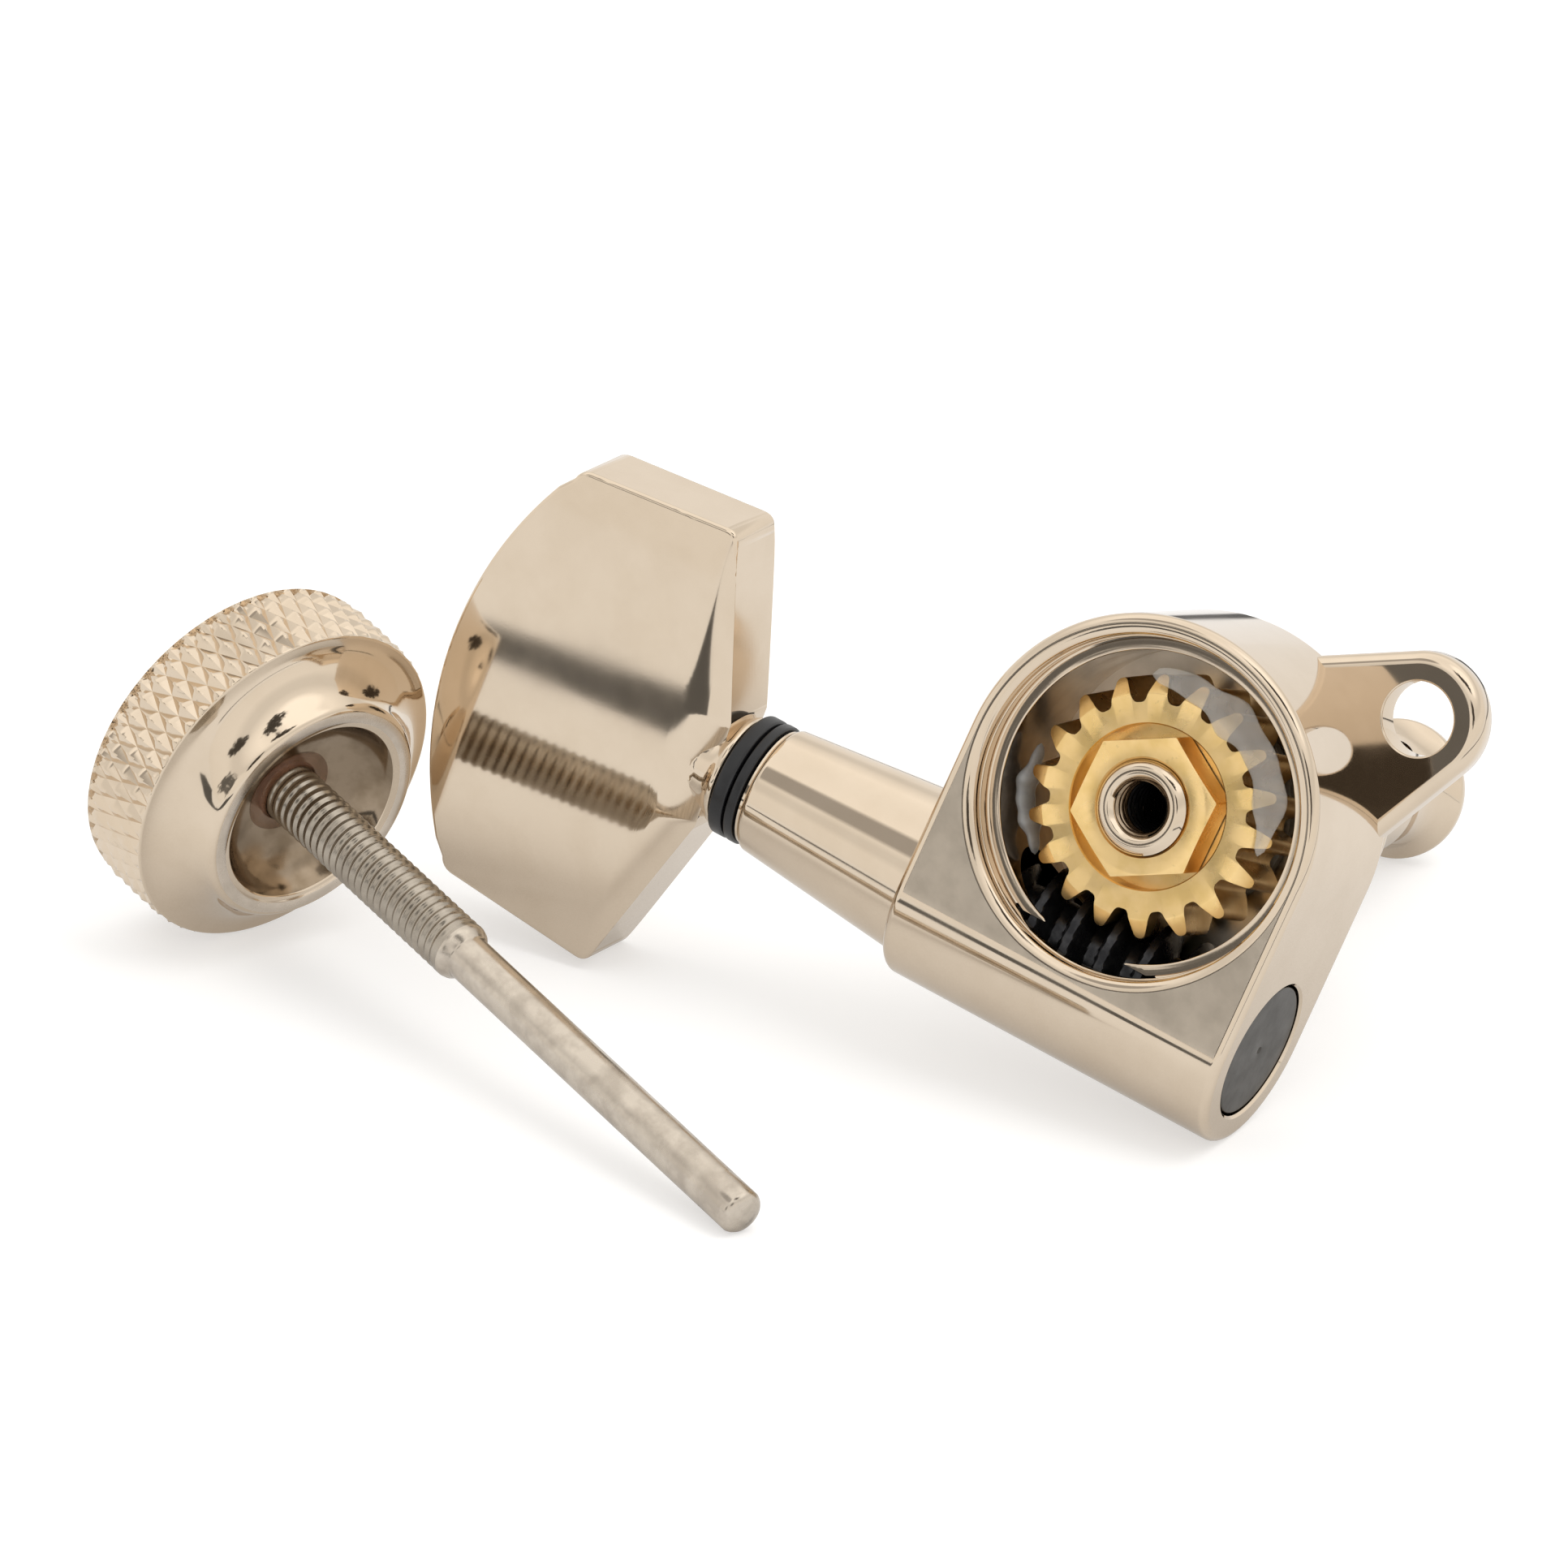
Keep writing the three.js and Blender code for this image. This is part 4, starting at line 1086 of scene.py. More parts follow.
    def build(self) -> None:
        """Builds and shows the pieces."""
        f = self.finishes
        body = Body.CASING
        first = SIZES.neck_end + self.washer_gap
        second = first + self.inner_washer + self.washer_gap
        Piece(
            "casing_shell", body, Slot.NICKEL, [f.polished, f.satin, f.oil_and_shade], ["housing"],
            paint=self.finish_at,
        ).show(self.shell(), self.place)
        Piece("bore_plug", body, Slot.BLACK_STEEL, [f.plug_steel], ["worm_bore_plug"]).show(
            self.plug(), self.place)
        Piece("inner_washer", body, Slot.BLACK_NYLON, [f.black_nylon], ["neck_inner_washer"]).show(
            self.neck_washer(first, self.inner_washer, self.inner_washer_soft), self.place)
        Piece("outer_washer", body, Slot.BLACK_NYLON, [f.black_nylon], ["neck_outer_washer"]).show(
            self.neck_washer(second, self.outer_washer, self.outer_washer_soft), self.place)


@dataclass
class WormDrive:
    """The worm shaft and the keystone button on it."""

    place: Placement
    finishes: Finishes
    worm_half: float = 5.3
    worm_tip: float = 3.31
    worm_root: float = 2.01
    worm_rows: int = 150
    soft: float = 0.06
    pitch: float = 1.926
    flank_angle: float = 20.0
    half_crest: float = 0.22
    crest_break: float = 0.04
    run_out: float = 0.9
    run_out_slope: float = 1.45
    journal: float = 1.3
    journal_edge: float = 0.05
    journal_start: float = -8.16
    shoulder_start: float = -6.24
    shoulder_end: float = 5.8
    tang_gap: float = 0.12
    button_turn: float = 13.0
    thickness: float = 4.0
    neck_length: float = 0.55
    flare: float = 2.75
    shoulder_rise: float = 2.85
    side_length: float = 8.4
    inner_half: float = 11.6
    outer_half: float = 10.75
    crown: float = 3.2
    corner: float = 0.6
    edge: float = 0.2
    neck_edge: float = 0.34
    face_crown: float = 0.55
    roll_depth: float = 0.85
    roll_depth_bend: float = 0.8
    roll_least: float = 0.25
    roll_reach: float = 2.3
    roll_reach_bend: float = 0.7
    rows_along: int = 44
    rows_across: int = 28
    row_crowding: float = 1.5
    collar_bore: float = 1.4
    collar_face: float = 2.62
    collar_round: float = 0.14
    collar_waist: Profile = (
        (2.74, 0.24), (2.66, 0.38), (2.56, 0.52), (2.49, 0.68), (2.44, 0.9), (2.36, 1.3), (2.2, 1.9),
        (1.9, 2.6),
    )
    collar_end: float = 2.8

    def turn(self, bm: Mesh) -> Mesh:
        """Turns a piece about the shaft to where the button stands.

        Args:
            bm: The mesh.

        Returns:
            The same mesh.
        """
        spot = (0, SIZES.worm_offset, SIZES.worm_height)
        turn = Matrix.Rotation(-math.radians(self.button_turn), 3, "X")
        bmesh.ops.rotate(bm, cent=spot, matrix=turn, verts=bm.verts)
        return bm

    def crest_place(self) -> float:
        """Works out where the thread's crest stands so that it meets the gear between two teeth.

        Returns:
            The crest's place along the shaft, on the side away from the gear.
        """
        s = SIZES
        pitch_radius = s.gear_teeth * s.gear_module / 2
        lead = self.pitch / (2 * math.pi * (s.worm_offset - pitch_radius))
        twist = (s.gear_top - s.gear_chamfer_drop - s.worm_height) * lead / pitch_radius
        step = 2 * math.pi / s.gear_teeth
        phase = (math.radians(s.gear_phase) - twist) - math.pi / 2
        from_worm = phase - round(phase / step) * step
        return -pitch_radius * from_worm - self.pitch / 2 - self.pitch * self.button_turn / 360

    def worm(self) -> Mesh:
        """Builds the worm with its shoulders, shaft and journal.

        Returns:
            The worm, turned as the button is.
        """
        s = SIZES
        root, soft = self.worm_root, self.soft
        half, end = self.worm_half, s.button_start - self.tang_gap
        profile = [(0, self.journal_start), (self.journal - self.journal_edge, self.journal_start)]
        profile += [(self.journal, self.journal_start + soft), (self.journal, self.shoulder_start)]
        profile += [(root - soft, self.shoulder_start), (root, self.shoulder_start + soft)]
        profile += [(root, -half - soft)]
        profile += line((self.worm_tip, -half), (self.worm_tip, half), self.worm_rows)
        profile += [(root, half + soft), (root, self.shoulder_end - soft), (root - soft, self.shoulder_end)]
        profile += [(s.shaft, self.shoulder_end), (s.shaft, end), (0, end)]
        bm = turned(profile, 120)
        swollen(bm, partial(self.thread, self.crest_place()))
        return self.turn(along_x(tidy(bm)))

    def thread(self, crest: float, angle: float, along: float, radius: float) -> float:
        """Gives how deep the thread is cut at a place on the worm.

        Args:
            crest: Where the crest stands along the shaft.
            angle: Angle in the lathe's own XY plane.
            along: Place along the shaft.
            radius: The blank's radius.

        Returns:
            The change of radius.
        """
        if radius < self.worm_tip - NEAR:
            return 0.0
        place = along - crest - self.pitch * (self.worm_angle(angle) - math.pi) / (2 * math.pi)
        place -= round(place / self.pitch) * self.pitch
        depth = max(abs(place) - self.half_crest, 0.0) / math.tan(math.radians(self.flank_angle))
        end = max(abs(along) - (self.worm_half - self.run_out), 0.0) * self.run_out_slope
        deepest = self.worm_tip - self.worm_root
        cut = min(depth + self.crest_break * (depth > 0), deepest)
        return -max(cut, min(end, deepest))

    @staticmethod
    def worm_angle(angle: float) -> float:
        """Turns the angle of the lathe's frame into the angle that the thread is counted from.

        Args:
            angle: Angle in the lathe's own XY plane.

        Returns:
            The angle from the tuner's Y axis, from 0 to a full turn.
        """
        y, z = math.sin(angle), -math.cos(angle)
        return math.atan2(z, y) % (2 * math.pi)

    def outline(self) -> list[Point]:
        """Works out the button's outline.

        Returns:
            Points along the shaft and across it.
        """
        face = SIZES.button_start + self.neck_length
        shoulder = face + self.shoulder_rise
        outer = shoulder + self.side_length
        radius = (self.outer_half ** 2 + self.crown ** 2) / (2 * self.crown)
        middle = outer + self.crown - radius
        top = math.degrees(math.asin(self.outer_half / radius))
        neck, wide, far = (face, self.flare), (shoulder, self.inner_half), (outer, self.outer_half)
        side = [(face, 0.0), neck]
        side += soft_corner(neck, wide, far, self.corner)
        side += soft_corner(wide, far, (middle + radius, 0.0), self.corner)
        clear = self.outer_half - 2 * self.corner
        side += [point for point in arc(middle, 0.0, radius, top, 0.0, 30) if point[1] < clear]
        return [*side, *[(x, -y) for x, y in reversed(side[1:-1])]]

    def face_rise(self, x: float, y: float) -> float:
        """Gives the height of the button's face over its middle plane.

        Args:
            x: Place along the shaft.
            y: Place across it.

        Returns:
            The height, crowned along the middle and rolled down towards the neck.
        """
        face = SIZES.button_start + self.neck_length
        across = min(abs(y) / self.inner_half, 1.0)
        slope = self.shoulder_rise / (self.inner_half - self.flare)
        depth = (x - face - max(abs(y) - self.flare, 0.0) * slope) * math.cos(math.atan(slope))
        share = 1.0 - across
        reach = self.roll_least + self.roll_reach * share ** self.roll_reach_bend
        roll = self.roll_depth * share ** self.roll_depth_bend * max(0.0, 1.0 - depth / reach) ** 2
        return self.thickness / 2 + self.face_crown * (1.0 - across ** 2) - roll

    def plate(self) -> Mesh:
        """Builds the button's plate: its outline with rounded edges, divided into rows and bowed.

        Returns:
            The plate, its middle plane at height zero.
        """
        half = self.thickness / 2
        face = SIZES.button_start + self.neck_length
        shoulder = face + self.shoulder_rise
        length = self.shoulder_rise + self.side_length + self.crown
        bm = extruded(list(reversed(self.outline())), -half, half)
        bm.normal_update()
        outer = [
            e for e in rim_edges(bm, [-half, half])
            if sum(v.co.x for v in e.verts) / 2 >= shoulder - self.corner / 4
        ]
        round_edges(bm, outer, self.edge, 4)
        bm.normal_update()
        neck_side = [
            e for e in rim_edges(bm, [-half, half])
            if max(v.co.x for v in e.verts) < shoulder + self.corner / 4
            and abs(e.verts[0].co.y - e.verts[1].co.y) > NEAR
        ]
        round_edges(bm, neck_side, self.neck_edge, 3)
        for i in range(1, self.rows_along):
            share = (i / self.rows_along) ** self.row_crowding
            score(bm, (face + length * share, 0, 0), (1, 0, 0))
        for i in range(1 - self.rows_across, self.rows_across):
            score(bm, (0, i * self.inner_half / self.rows_across, 0), (0, 1, 0))
        for vert in bm.verts:
            vert.co.z *= self.face_rise(vert.co.x, vert.co.y) / half
        return bm

    def button(self) -> Mesh:
        """Builds the button: a keystone plate with bowed faces on a short drawn-in collar.

        Returns:
            The button, turned about the shaft.
        """
        plate = self.plate()
        bmesh.ops.translate(plate, vec=(0, SIZES.worm_offset, SIZES.worm_height), verts=plate.verts)
        start, bore, soft = SIZES.button_start, self.collar_bore, self.collar_round
        collar = [(bore, start), (self.collar_face, start)]
        collar += arc(self.collar_face - 0.02, start + soft, soft, -60, 0, 4)
        collar += [*moved(self.collar_waist, 0.0, start), (bore, start + self.collar_end)]
        return self.turn(carve("button", tidy(plate), [("UNION", along_x(turned(collar, 96)))]))

    def face_normal(self, x: float, y: float) -> Vector:
        """Gives the outward direction of the button's upper face.

        Args:
            x: Place along the shaft.
            y: Place across it.

        Returns:
            The unit direction.
        """
        step = 0.01
        along = (self.face_rise(x + step, y) - self.face_rise(x - step, y)) / (2 * step)
        across = (self.face_rise(x, y + step) - self.face_rise(x, y - step)) / (2 * step)
        return Vector((-along, -across, 1.0)).normalized()

    def true_normals(self, shown: bpy.types.Object) -> None:
        """Shades the button's two bowed faces by their formula, so that they mirror without ripples.

        Args:
            shown: The button's object.
        """
        spot = Matrix.Translation((0, SIZES.worm_offset, SIZES.worm_height))
        place = self.place.matrix() @ spot @ Matrix.Rotation(-math.radians(self.button_turn), 4, "X")
        back = place.inverted()
        turn = place.to_3x3().normalized()
        on_face, near_flat = 0.002, math.radians(40)
        mesh = shown.data
        normals = [Vector(corner.vector) for corner in mesh.corner_normals]
        for polygon in mesh.polygons:
            for index in polygon.loop_indices:
                local = back @ mesh.vertices[mesh.loops[index].vertex_index].co
                if abs(abs(local.z) - self.face_rise(local.x, local.y)) > on_face:
                    continue
                normal = self.face_normal(local.x, local.y)
                normal.z *= math.copysign(1.0, local.z)
                normal = turn @ normal
                if polygon.normal.angle(normal, math.pi) < near_flat:
                    normals[index] = normal
        mesh.normals_split_custom_set([tuple(normal) for normal in normals])

    def build(self) -> None:
        """Builds and shows the pieces."""
        f = self.finishes
        body = Body.WORM_DRIVE
        Piece("worm", body, Slot.BLACK_STEEL, [f.black_steel], ["worm_shaft"], sharp=40).show(
            self.worm(), self.place)
        shown = Piece("keystone_button", body, Slot.NICKEL, [f.polished], ["button"], sharp=50).show(
            self.button(), self.place)
        self.true_normals(shown)


@dataclass(frozen=True)
class Grease:
    """A smear of grease that follows the gear.

    Attributes:
        start: First angle in degrees.
        end: Last angle in degrees.
        radius: Radius of its middle line.
        width: Its usual width.
        height: Height of its middle line.
        thick: Its thickness.
        seed: Shifts its waves.
        sides: Points round its section.
        steps: Sections along it.
        end_bend: How bluntly its ends close; smaller is blunter.
        reach: Radius of the unit bar that it is bent from.
    """

    start: float
    end: float
    radius: float
    width: float
    height: float
    thick: float
    seed: float
    sides: int = 16
    steps: int = 40
    end_bend: float = 0.45
    reach: float = 10.0

    def bar(self) -> Mesh:
        """Builds a round bar of radius 1 that is bent through 1 radian, its ends open.

        Returns:
            The bar.
        """
        bm = bmesh.new()
        angles = [2 * math.pi * i / self.sides for i in range(self.sides)]
        ring = [bm.verts.new((math.cos(angle), 0.0, math.sin(angle))) for angle in angles]
        edges = [bm.edges.new((ring[i], ring[(i + 1) % self.sides])) for i in range(self.sides)]
        bmesh.ops.spin(
            bm, geom=ring + edges, cent=(-self.reach, 0, 0), axis=(0, 0, 1), angle=-1.0,
            steps=self.steps, use_merge=False,
        )
        return bm

    def mesh(self) -> Mesh:
        """Builds the smear: the bar laid round the gear, with wavy sides and thin ends.

        Returns:
            The closed mesh.
        """
        bm = self.bar()
        for vert in bm.verts:
            across = vert.co.x + self.reach
            out = math.hypot(across, vert.co.y) - self.reach
            t = abs(math.atan2(vert.co.y, across))
            body = max(1e-3, math.sin(math.pi * min(t, 1.0))) ** self.end_bend
            wave = 1.0 + 0.16 * math.sin(t * 17 + self.seed) + 0.1 * math.sin(t * 31 + 2 * self.seed)
            shift = 0.12 * math.sin(t * 9 + self.seed * 1.7)
            r = self.radius + shift + out * self.width / 2 * body * wave
            a = math.radians(self.start + (self.end - self.start) * t)
            high = self.height + vert.co.z * self.thick / 2 * body * wave
            vert.co = Vector((r * math.cos(a), r * math.sin(a), high))
        bmesh.ops.holes_fill(bm, edges=[e for e in bm.edges if e.is_boundary], sides=0)
        bmesh.ops.recalc_face_normals(bm, faces=bm.faces)
        return bm


@dataclass
class GearTrain:
    """The brass gear, its nut, the string post and the grease round them."""

    place: Placement
    finishes: Finishes
    root: float = 4.86
    twist: float = 6.0
    tooth_side: Profile = (
        (0.0, 1.0), (0.1, 0.992), (0.19, 0.95), (0.26, 0.87), (0.32, 0.74), (0.435, 0.5),
        (0.54, 0.27), (0.63, 0.11), (0.73, 0.03), (0.86, 0.0),
    )
    tooth_rows: int = 8
    trim: float = 0.1
    chamfer: float = 0.88
    chamfer_soft: float = 0.05
    recess_soft: float = 0.06
    gear_bore: float = 2.62
    nut_gap: float = 0.12
    nut_corner: float = 3.62
    nut_turn: float = 59.0
    nut_top: float = 8.55
    nut_soft: float = 0.06
    nut_play: float = 0.06
    nut_mouth: float = 0.1
    nut_slope: Point = (0.5, 0.14)
    nut_crown: Profile = ((0.02, -0.035), (-0.06, 0.0))
    post_top: float = 9.0
    post_length: float = 26.6
    head: float = 3.35
    head_round: float = 1.0
    head_length: float = 1.9
    head_shoulder: Profile = ((3.35, -0.7), (3.3, -0.6), (2.66, 0.0))
    waist: float = 2.5
    waist_length: float = 4.6
    waist_half: float = 0.6
    waist_shoulder: Profile = ((-0.34, -0.7), (-0.05, -0.06), (0.0, 0.06))
    string_hole: float = 0.95
    thread_start: float = 7.95
    thread_rise: float = 0.05
    thread_end: Profile = ((-0.08, -0.2), (-0.24, -0.05), (-0.36, 0.0))
    thread_run_out: float = 0.3
    bore: float = 1.3
    bore_below: float = 1.0
    bore_tip: float = 1.2
    bore_mouth: Profile = ((0.28, 0.0), (0.21, -0.04), (0.02, -0.32))
    bore_thread_start: float = 0.4
    bore_thread_end: float = 8.0
    bore_thread_rise: float = 0.1
    post_pitch: float = 0.5
    oil_and_shade_from: float = 0.3
    dark_from: float = 1.9

    def wheel(self) -> Mesh:
        """Builds the gear with helical teeth, chamfered ends and its recess.

        Returns:
            The gear.
        """
        s = SIZES
        step = 2 * math.pi / s.gear_teeth
        height = s.gear_tip - self.root
        half = [(across * step / 2, self.root + up * height) for across, up in self.tooth_side]
        tooth = [(-angle, radius) for angle, radius in reversed(half[1:])] + half
        outline = []
        for i in range(s.gear_teeth):
            middle = math.radians(s.gear_phase) + i * step
            outline += [(r * math.cos(middle + a), r * math.sin(middle + a)) for a, r in tooth]
        low, high = s.gear_bottom - self.trim, s.gear_top + self.trim
        bm = extruded(outline, low, high)
        for i in range(1, self.tooth_rows):
            score(bm, (0, 0, low + (high - low) * i / self.tooth_rows), (0, 0, 1))
        for vert in bm.verts:
            share = (vert.co.z - s.gear_top + s.gear_chamfer_drop) / (s.gear_top - s.gear_bottom)
            vert.co.xy = Matrix.Rotation(math.radians(self.twist) * share, 2) @ vert.co.xy
        return carve("gear", bm, [
            ("INTERSECT", self.blank()), ("DIFFERENCE", self.recess()), ("DIFFERENCE", self.gear_hole()),
        ])

    def blank(self) -> Mesh:
        """Builds the turned form that the gear's teeth are cut from, with its chamfers.

        Returns:
            The form.
        """
        s = SIZES
        past = s.gear_tip + self.chamfer / s.gear_chamfer_drop * OVERRUN
        flat, soft = s.gear_tip - self.chamfer, self.chamfer_soft
        return turned([
            (0, s.gear_bottom), (flat, s.gear_bottom), (past, s.gear_bottom + s.gear_chamfer_drop + OVERRUN),
            (past, s.gear_top - s.gear_chamfer_drop - OVERRUN), (flat + soft, s.gear_top - soft * 0.8),
            (flat - soft, s.gear_top), (0, s.gear_top),
        ], 144)

    def recess(self) -> Mesh:
        """Builds what is cut for the nut, with a broken edge.

        Returns:
            The cutting solid.
        """
        s = SIZES
        wide, soft = s.recess, self.recess_soft
        return turned([
            (0, s.recess_floor), (wide, s.recess_floor), (wide, s.gear_top - soft), (wide + soft, s.gear_top),
            (wide + soft + OVERRUN, s.gear_top + OVERRUN), (0, s.gear_top + OVERRUN),
        ], 96)

    def gear_hole(self) -> Mesh:
        """Builds what is cut for the post."""
        low, high = SIZES.gear_bottom - OVERRUN, SIZES.recess_floor + OVERRUN
        return turned([(0, low), (self.gear_bore, low), (self.gear_bore, high), (0, high)], 64)

    def nut(self) -> Mesh:
        """Builds the hexagonal nut with its turned crown.

        Returns:
            The nut.
        """
        s = SIZES
        top, low = self.nut_top, s.recess_floor + self.nut_gap
        corner = self.nut_corner
        flat = corner * math.cos(math.pi / 6)
        bm = hexagon(corner, low, top, self.nut_turn, self.nut_soft, 2)
        under, wide = low - OVERRUN, corner + OVERRUN
        past, at = self.nut_slope
        crown = turned([
            (0, under), (wide, under), (wide, top - past), (corner, top - at),
            *moved(self.nut_crown, flat, top), (0, top),
        ], 96)
        inner, mouth = s.post_thread + self.nut_play, self.nut_mouth
        bore = turned([
            (0, under), (inner, under), (inner, top - mouth), (inner + mouth, top),
            (inner + mouth + OVERRUN, top + OVERRUN), (0, top + OVERRUN),
        ], 64)
        return carve("nut", bm, [("INTERSECT", crown), ("DIFFERENCE", bore)])

    def post(self) -> Mesh:
        """Builds the string post with its waist, string hole, outer thread and tapped bore.

        Returns:
            The post.
        """
        s = SIZES
        top, foot = self.post_top, -self.post_length
        low = foot + self.head_length
        high = low + self.waist_length
        middle = (low + high) / 2
        thread, bore = s.post_thread, self.bore
        seat = s.gear_bottom - self.nut_gap
        profile = [(0.0, foot)]
        profile += arc(self.head - self.head_round, foot + self.head_round, self.head_round, -90, 0, 8)
        profile += [*moved(self.head_shoulder, 0.0, low), (self.waist, middle - self.waist_half)]
        profile += [(self.waist, middle + self.waist_half), *moved(self.waist_shoulder, s.post, high)]
        profile += [(s.post, seat), (thread, seat), (thread, self.thread_start - 0.05)]
        profile += line((thread, self.thread_start), (thread, top - self.thread_run_out), 10)
        profile += [*moved(self.thread_end, thread, top), *moved(self.bore_mouth, bore, top)]
        profile += line((bore, top - self.bore_thread_start), (bore, top - self.bore_thread_end), 130)
        profile += [(bore, middle - self.bore_below), (0.0, middle - self.bore_tip)]
        bm = swollen(turned(profile, 72), self.post_threads)
        hole, past = self.string_hole, s.post + 2 * OVERRUN
        drill = turned([(0, -past), (hole, -past), (hole, past), (0, past)], 40)
        flat = Matrix.Rotation(math.pi / 2, 3, "X")
        bmesh.ops.rotate(drill, cent=(0, 0, 0), matrix=flat, verts=drill.verts)
        bmesh.ops.translate(drill, vec=(0, 0, middle), verts=drill.verts)
        return carve("post", bm, [("DIFFERENCE", drill)])

    def post_threads(self, angle: float, along: float, radius: float) -> float:
        """Gives the rise of the post's outer thread and of the thread in its bore.

        Args:
            angle: Angle round the post.
            along: Height.
            radius: The plain radius.

        Returns:
            The change of radius.
        """
        top = self.post_top
        phase = 2 * math.pi * along / self.post_pitch - angle
        outer_end, inner_end = top - self.thread_run_out + HAIR, top - self.bore_thread_start + HAIR
        if abs(radius - SIZES.post_thread) < NEAR and self.thread_start - HAIR < along < outer_end:
            return self.thread_rise * math.cos(phase)
        if abs(radius - self.bore) < NEAR and top - self.bore_thread_end < along < inner_end:
            return self.bore_thread_rise * math.cos(phase)
        return 0.0

    def post_finish(self, middle: Vector, normal: Vector) -> int:
        """Picks painted shade for the tapped bore: the darker oil-and-shade finish near its mouth and black
        steel deeper in.

        Args:
            middle: The face's middle.
            normal: The face's outward direction, not needed.

        Returns:
            The finish's place in the post's list.
        """
        if middle.xy.length > self.bore + self.bore_thread_rise + 0.03 or middle.z < 0.0:
            return 0
        # painted shade: black steel deep in the bore, the darker oil-and-shade nickel nearer its mouth
        if middle.z < self.post_top - self.dark_from:
            return 2
        return int(middle.z < self.post_top - self.oil_and_shade_from)

    def build(self) -> None:
        """Builds and shows the pieces."""
        f = self.finishes
        body = Body.POST_DRIVE
        Piece("brass_gear", body, Slot.BRASS, [f.brass], ["worm_wheel"], sharp=35).show(
            self.wheel(), self.place)
        Piece("brass_nut", body, Slot.BRASS, [f.brass], ["gear_nut"], sharp=24).show(
            self.nut(), self.place)
        Piece(
            "post", body, Slot.NICKEL, [f.polished, f.oil_and_shade, f.black_steel], ["string_post"], sharp=50,
            paint=self.post_finish,
        ).show(self.post(), self.place)
        over = Grease(start=293, end=184, radius=6.0, width=1.75, height=8.02, thick=0.34, seed=1.0)
        Piece("grease_over_teeth", Body.CASING, Slot.PALE_NYLON, [f.thin_grease], sharp=180).show(
            over.mesh(), self.place)
        wall = Grease(start=1, end=46, radius=6.78, width=0.82, height=5.7, thick=1.9, seed=2.2)
        Piece("grease_by_wall", Body.CASING, Slot.PALE_NYLON, [f.grease], sharp=180).show(
            wall.mesh(), self.place)


@dataclass
class HeadstockHardware:
    """The hex bushing and the washer that clamp the headstock."""

    place: Placement
    finishes: Finishes
    gap: float = 0.12
    washer: float = 6.4
    washer_bore: float = 4.07
    washer_thickness: float = 0.6
    washer_soft: float = 0.14
    corner: float = 5.7
    corner_soft: float = 0.12
    corner_spare: float = 0.1
    head: float = 2.4
    head_face: Profile = ((-0.3, 0.0), (0.0, 0.12))
    head_slope: float = 0.6
    shank: float = 3.8
    shank_length: float = 6.4
    shank_chamfer: float = 0.3
    shank_pitch: float = 0.75
    thread_rise: float = 0.06
    bore: float = 3.08
    bore_chamfer: float = 0.12

    def bushing(self) -> Mesh:
        """Builds the hex bushing with its threaded shank.

        Returns:
            The bushing.
        """
        high = -SIZES.boss_length - self.washer_thickness - 2 * self.gap
        low = high - self.head
        wide, spare = self.corner, self.corner_spare
        flat = wide * math.cos(math.pi / 6)
        crown = turned([
            (0, low), *moved(self.head_face, flat, low), (wide + spare, low + self.head_slope),
            (wide + spare, high - spare), (wide, high), (0, high),
        ], 96)
        top = high + self.shank_length
        shank = [(0, high - OVERRUN), (self.shank, high - OVERRUN)]
        shank += line((self.shank, high), (self.shank, top - self.shank_chamfer), 70)
        shank += [(self.shank - 0.25, top), (0, top)]
        bar = swollen(turned(shank, 72), partial(self.thread, high, top - 0.25))
        under, chamfer = low - OVERRUN, self.bore_chamfer
        bore = turned([
            (0, under), (self.bore + chamfer, under), (self.bore, low + chamfer),
            (self.bore, top + OVERRUN), (0, top + OVERRUN),
        ], 64)
        head = hexagon(wide, low, high, 30.0, self.corner_soft, 3)
        return carve("bushing", head, [("INTERSECT", crown), ("UNION", bar), ("DIFFERENCE", bore)])

    def thread(self, start: float, end: float, angle: float, along: float, radius: float) -> float:
        """Gives the rise of the shank's thread.

        Args:
            start: Height where the thread begins.
            end: Height where it ends.
            angle: Angle round the shank.
            along: Height.
            radius: The plain radius.

        Returns:
            The change of radius.
        """
        if abs(radius - self.shank) > NEAR or along < start or along > end:
            return 0.0
        return self.thread_rise * (math.cos(2 * math.pi * along / self.shank_pitch - angle) - 1.0)

    def ring(self) -> Mesh:
        """Builds the washer.

        Returns:
            The washer with rounded outer edges.
        """
        high = -SIZES.boss_length - self.gap
        low = high - self.washer_thickness
        soft, bore = self.washer_soft, self.washer_bore
        profile = [(bore, low), *arc(self.washer - soft, low + soft, soft, -90, 0, 4)]
        return turned([*profile, *arc(self.washer - soft, high - soft, soft, 0, 90, 4), (bore, high)], 96)

    def build(self) -> None:
        """Builds and shows the pieces."""
        finish = [self.finishes.polished]
        bushing = Piece("hex_bushing", Body.CASING, Slot.NICKEL, finish, ["headstock_bushing"])
        bushing.show(self.bushing(), self.place)
        washer = Piece("clamp_washer", Body.CASING, Slot.NICKEL, finish, ["bushing_washer"])
        washer.show(self.ring(), self.place)


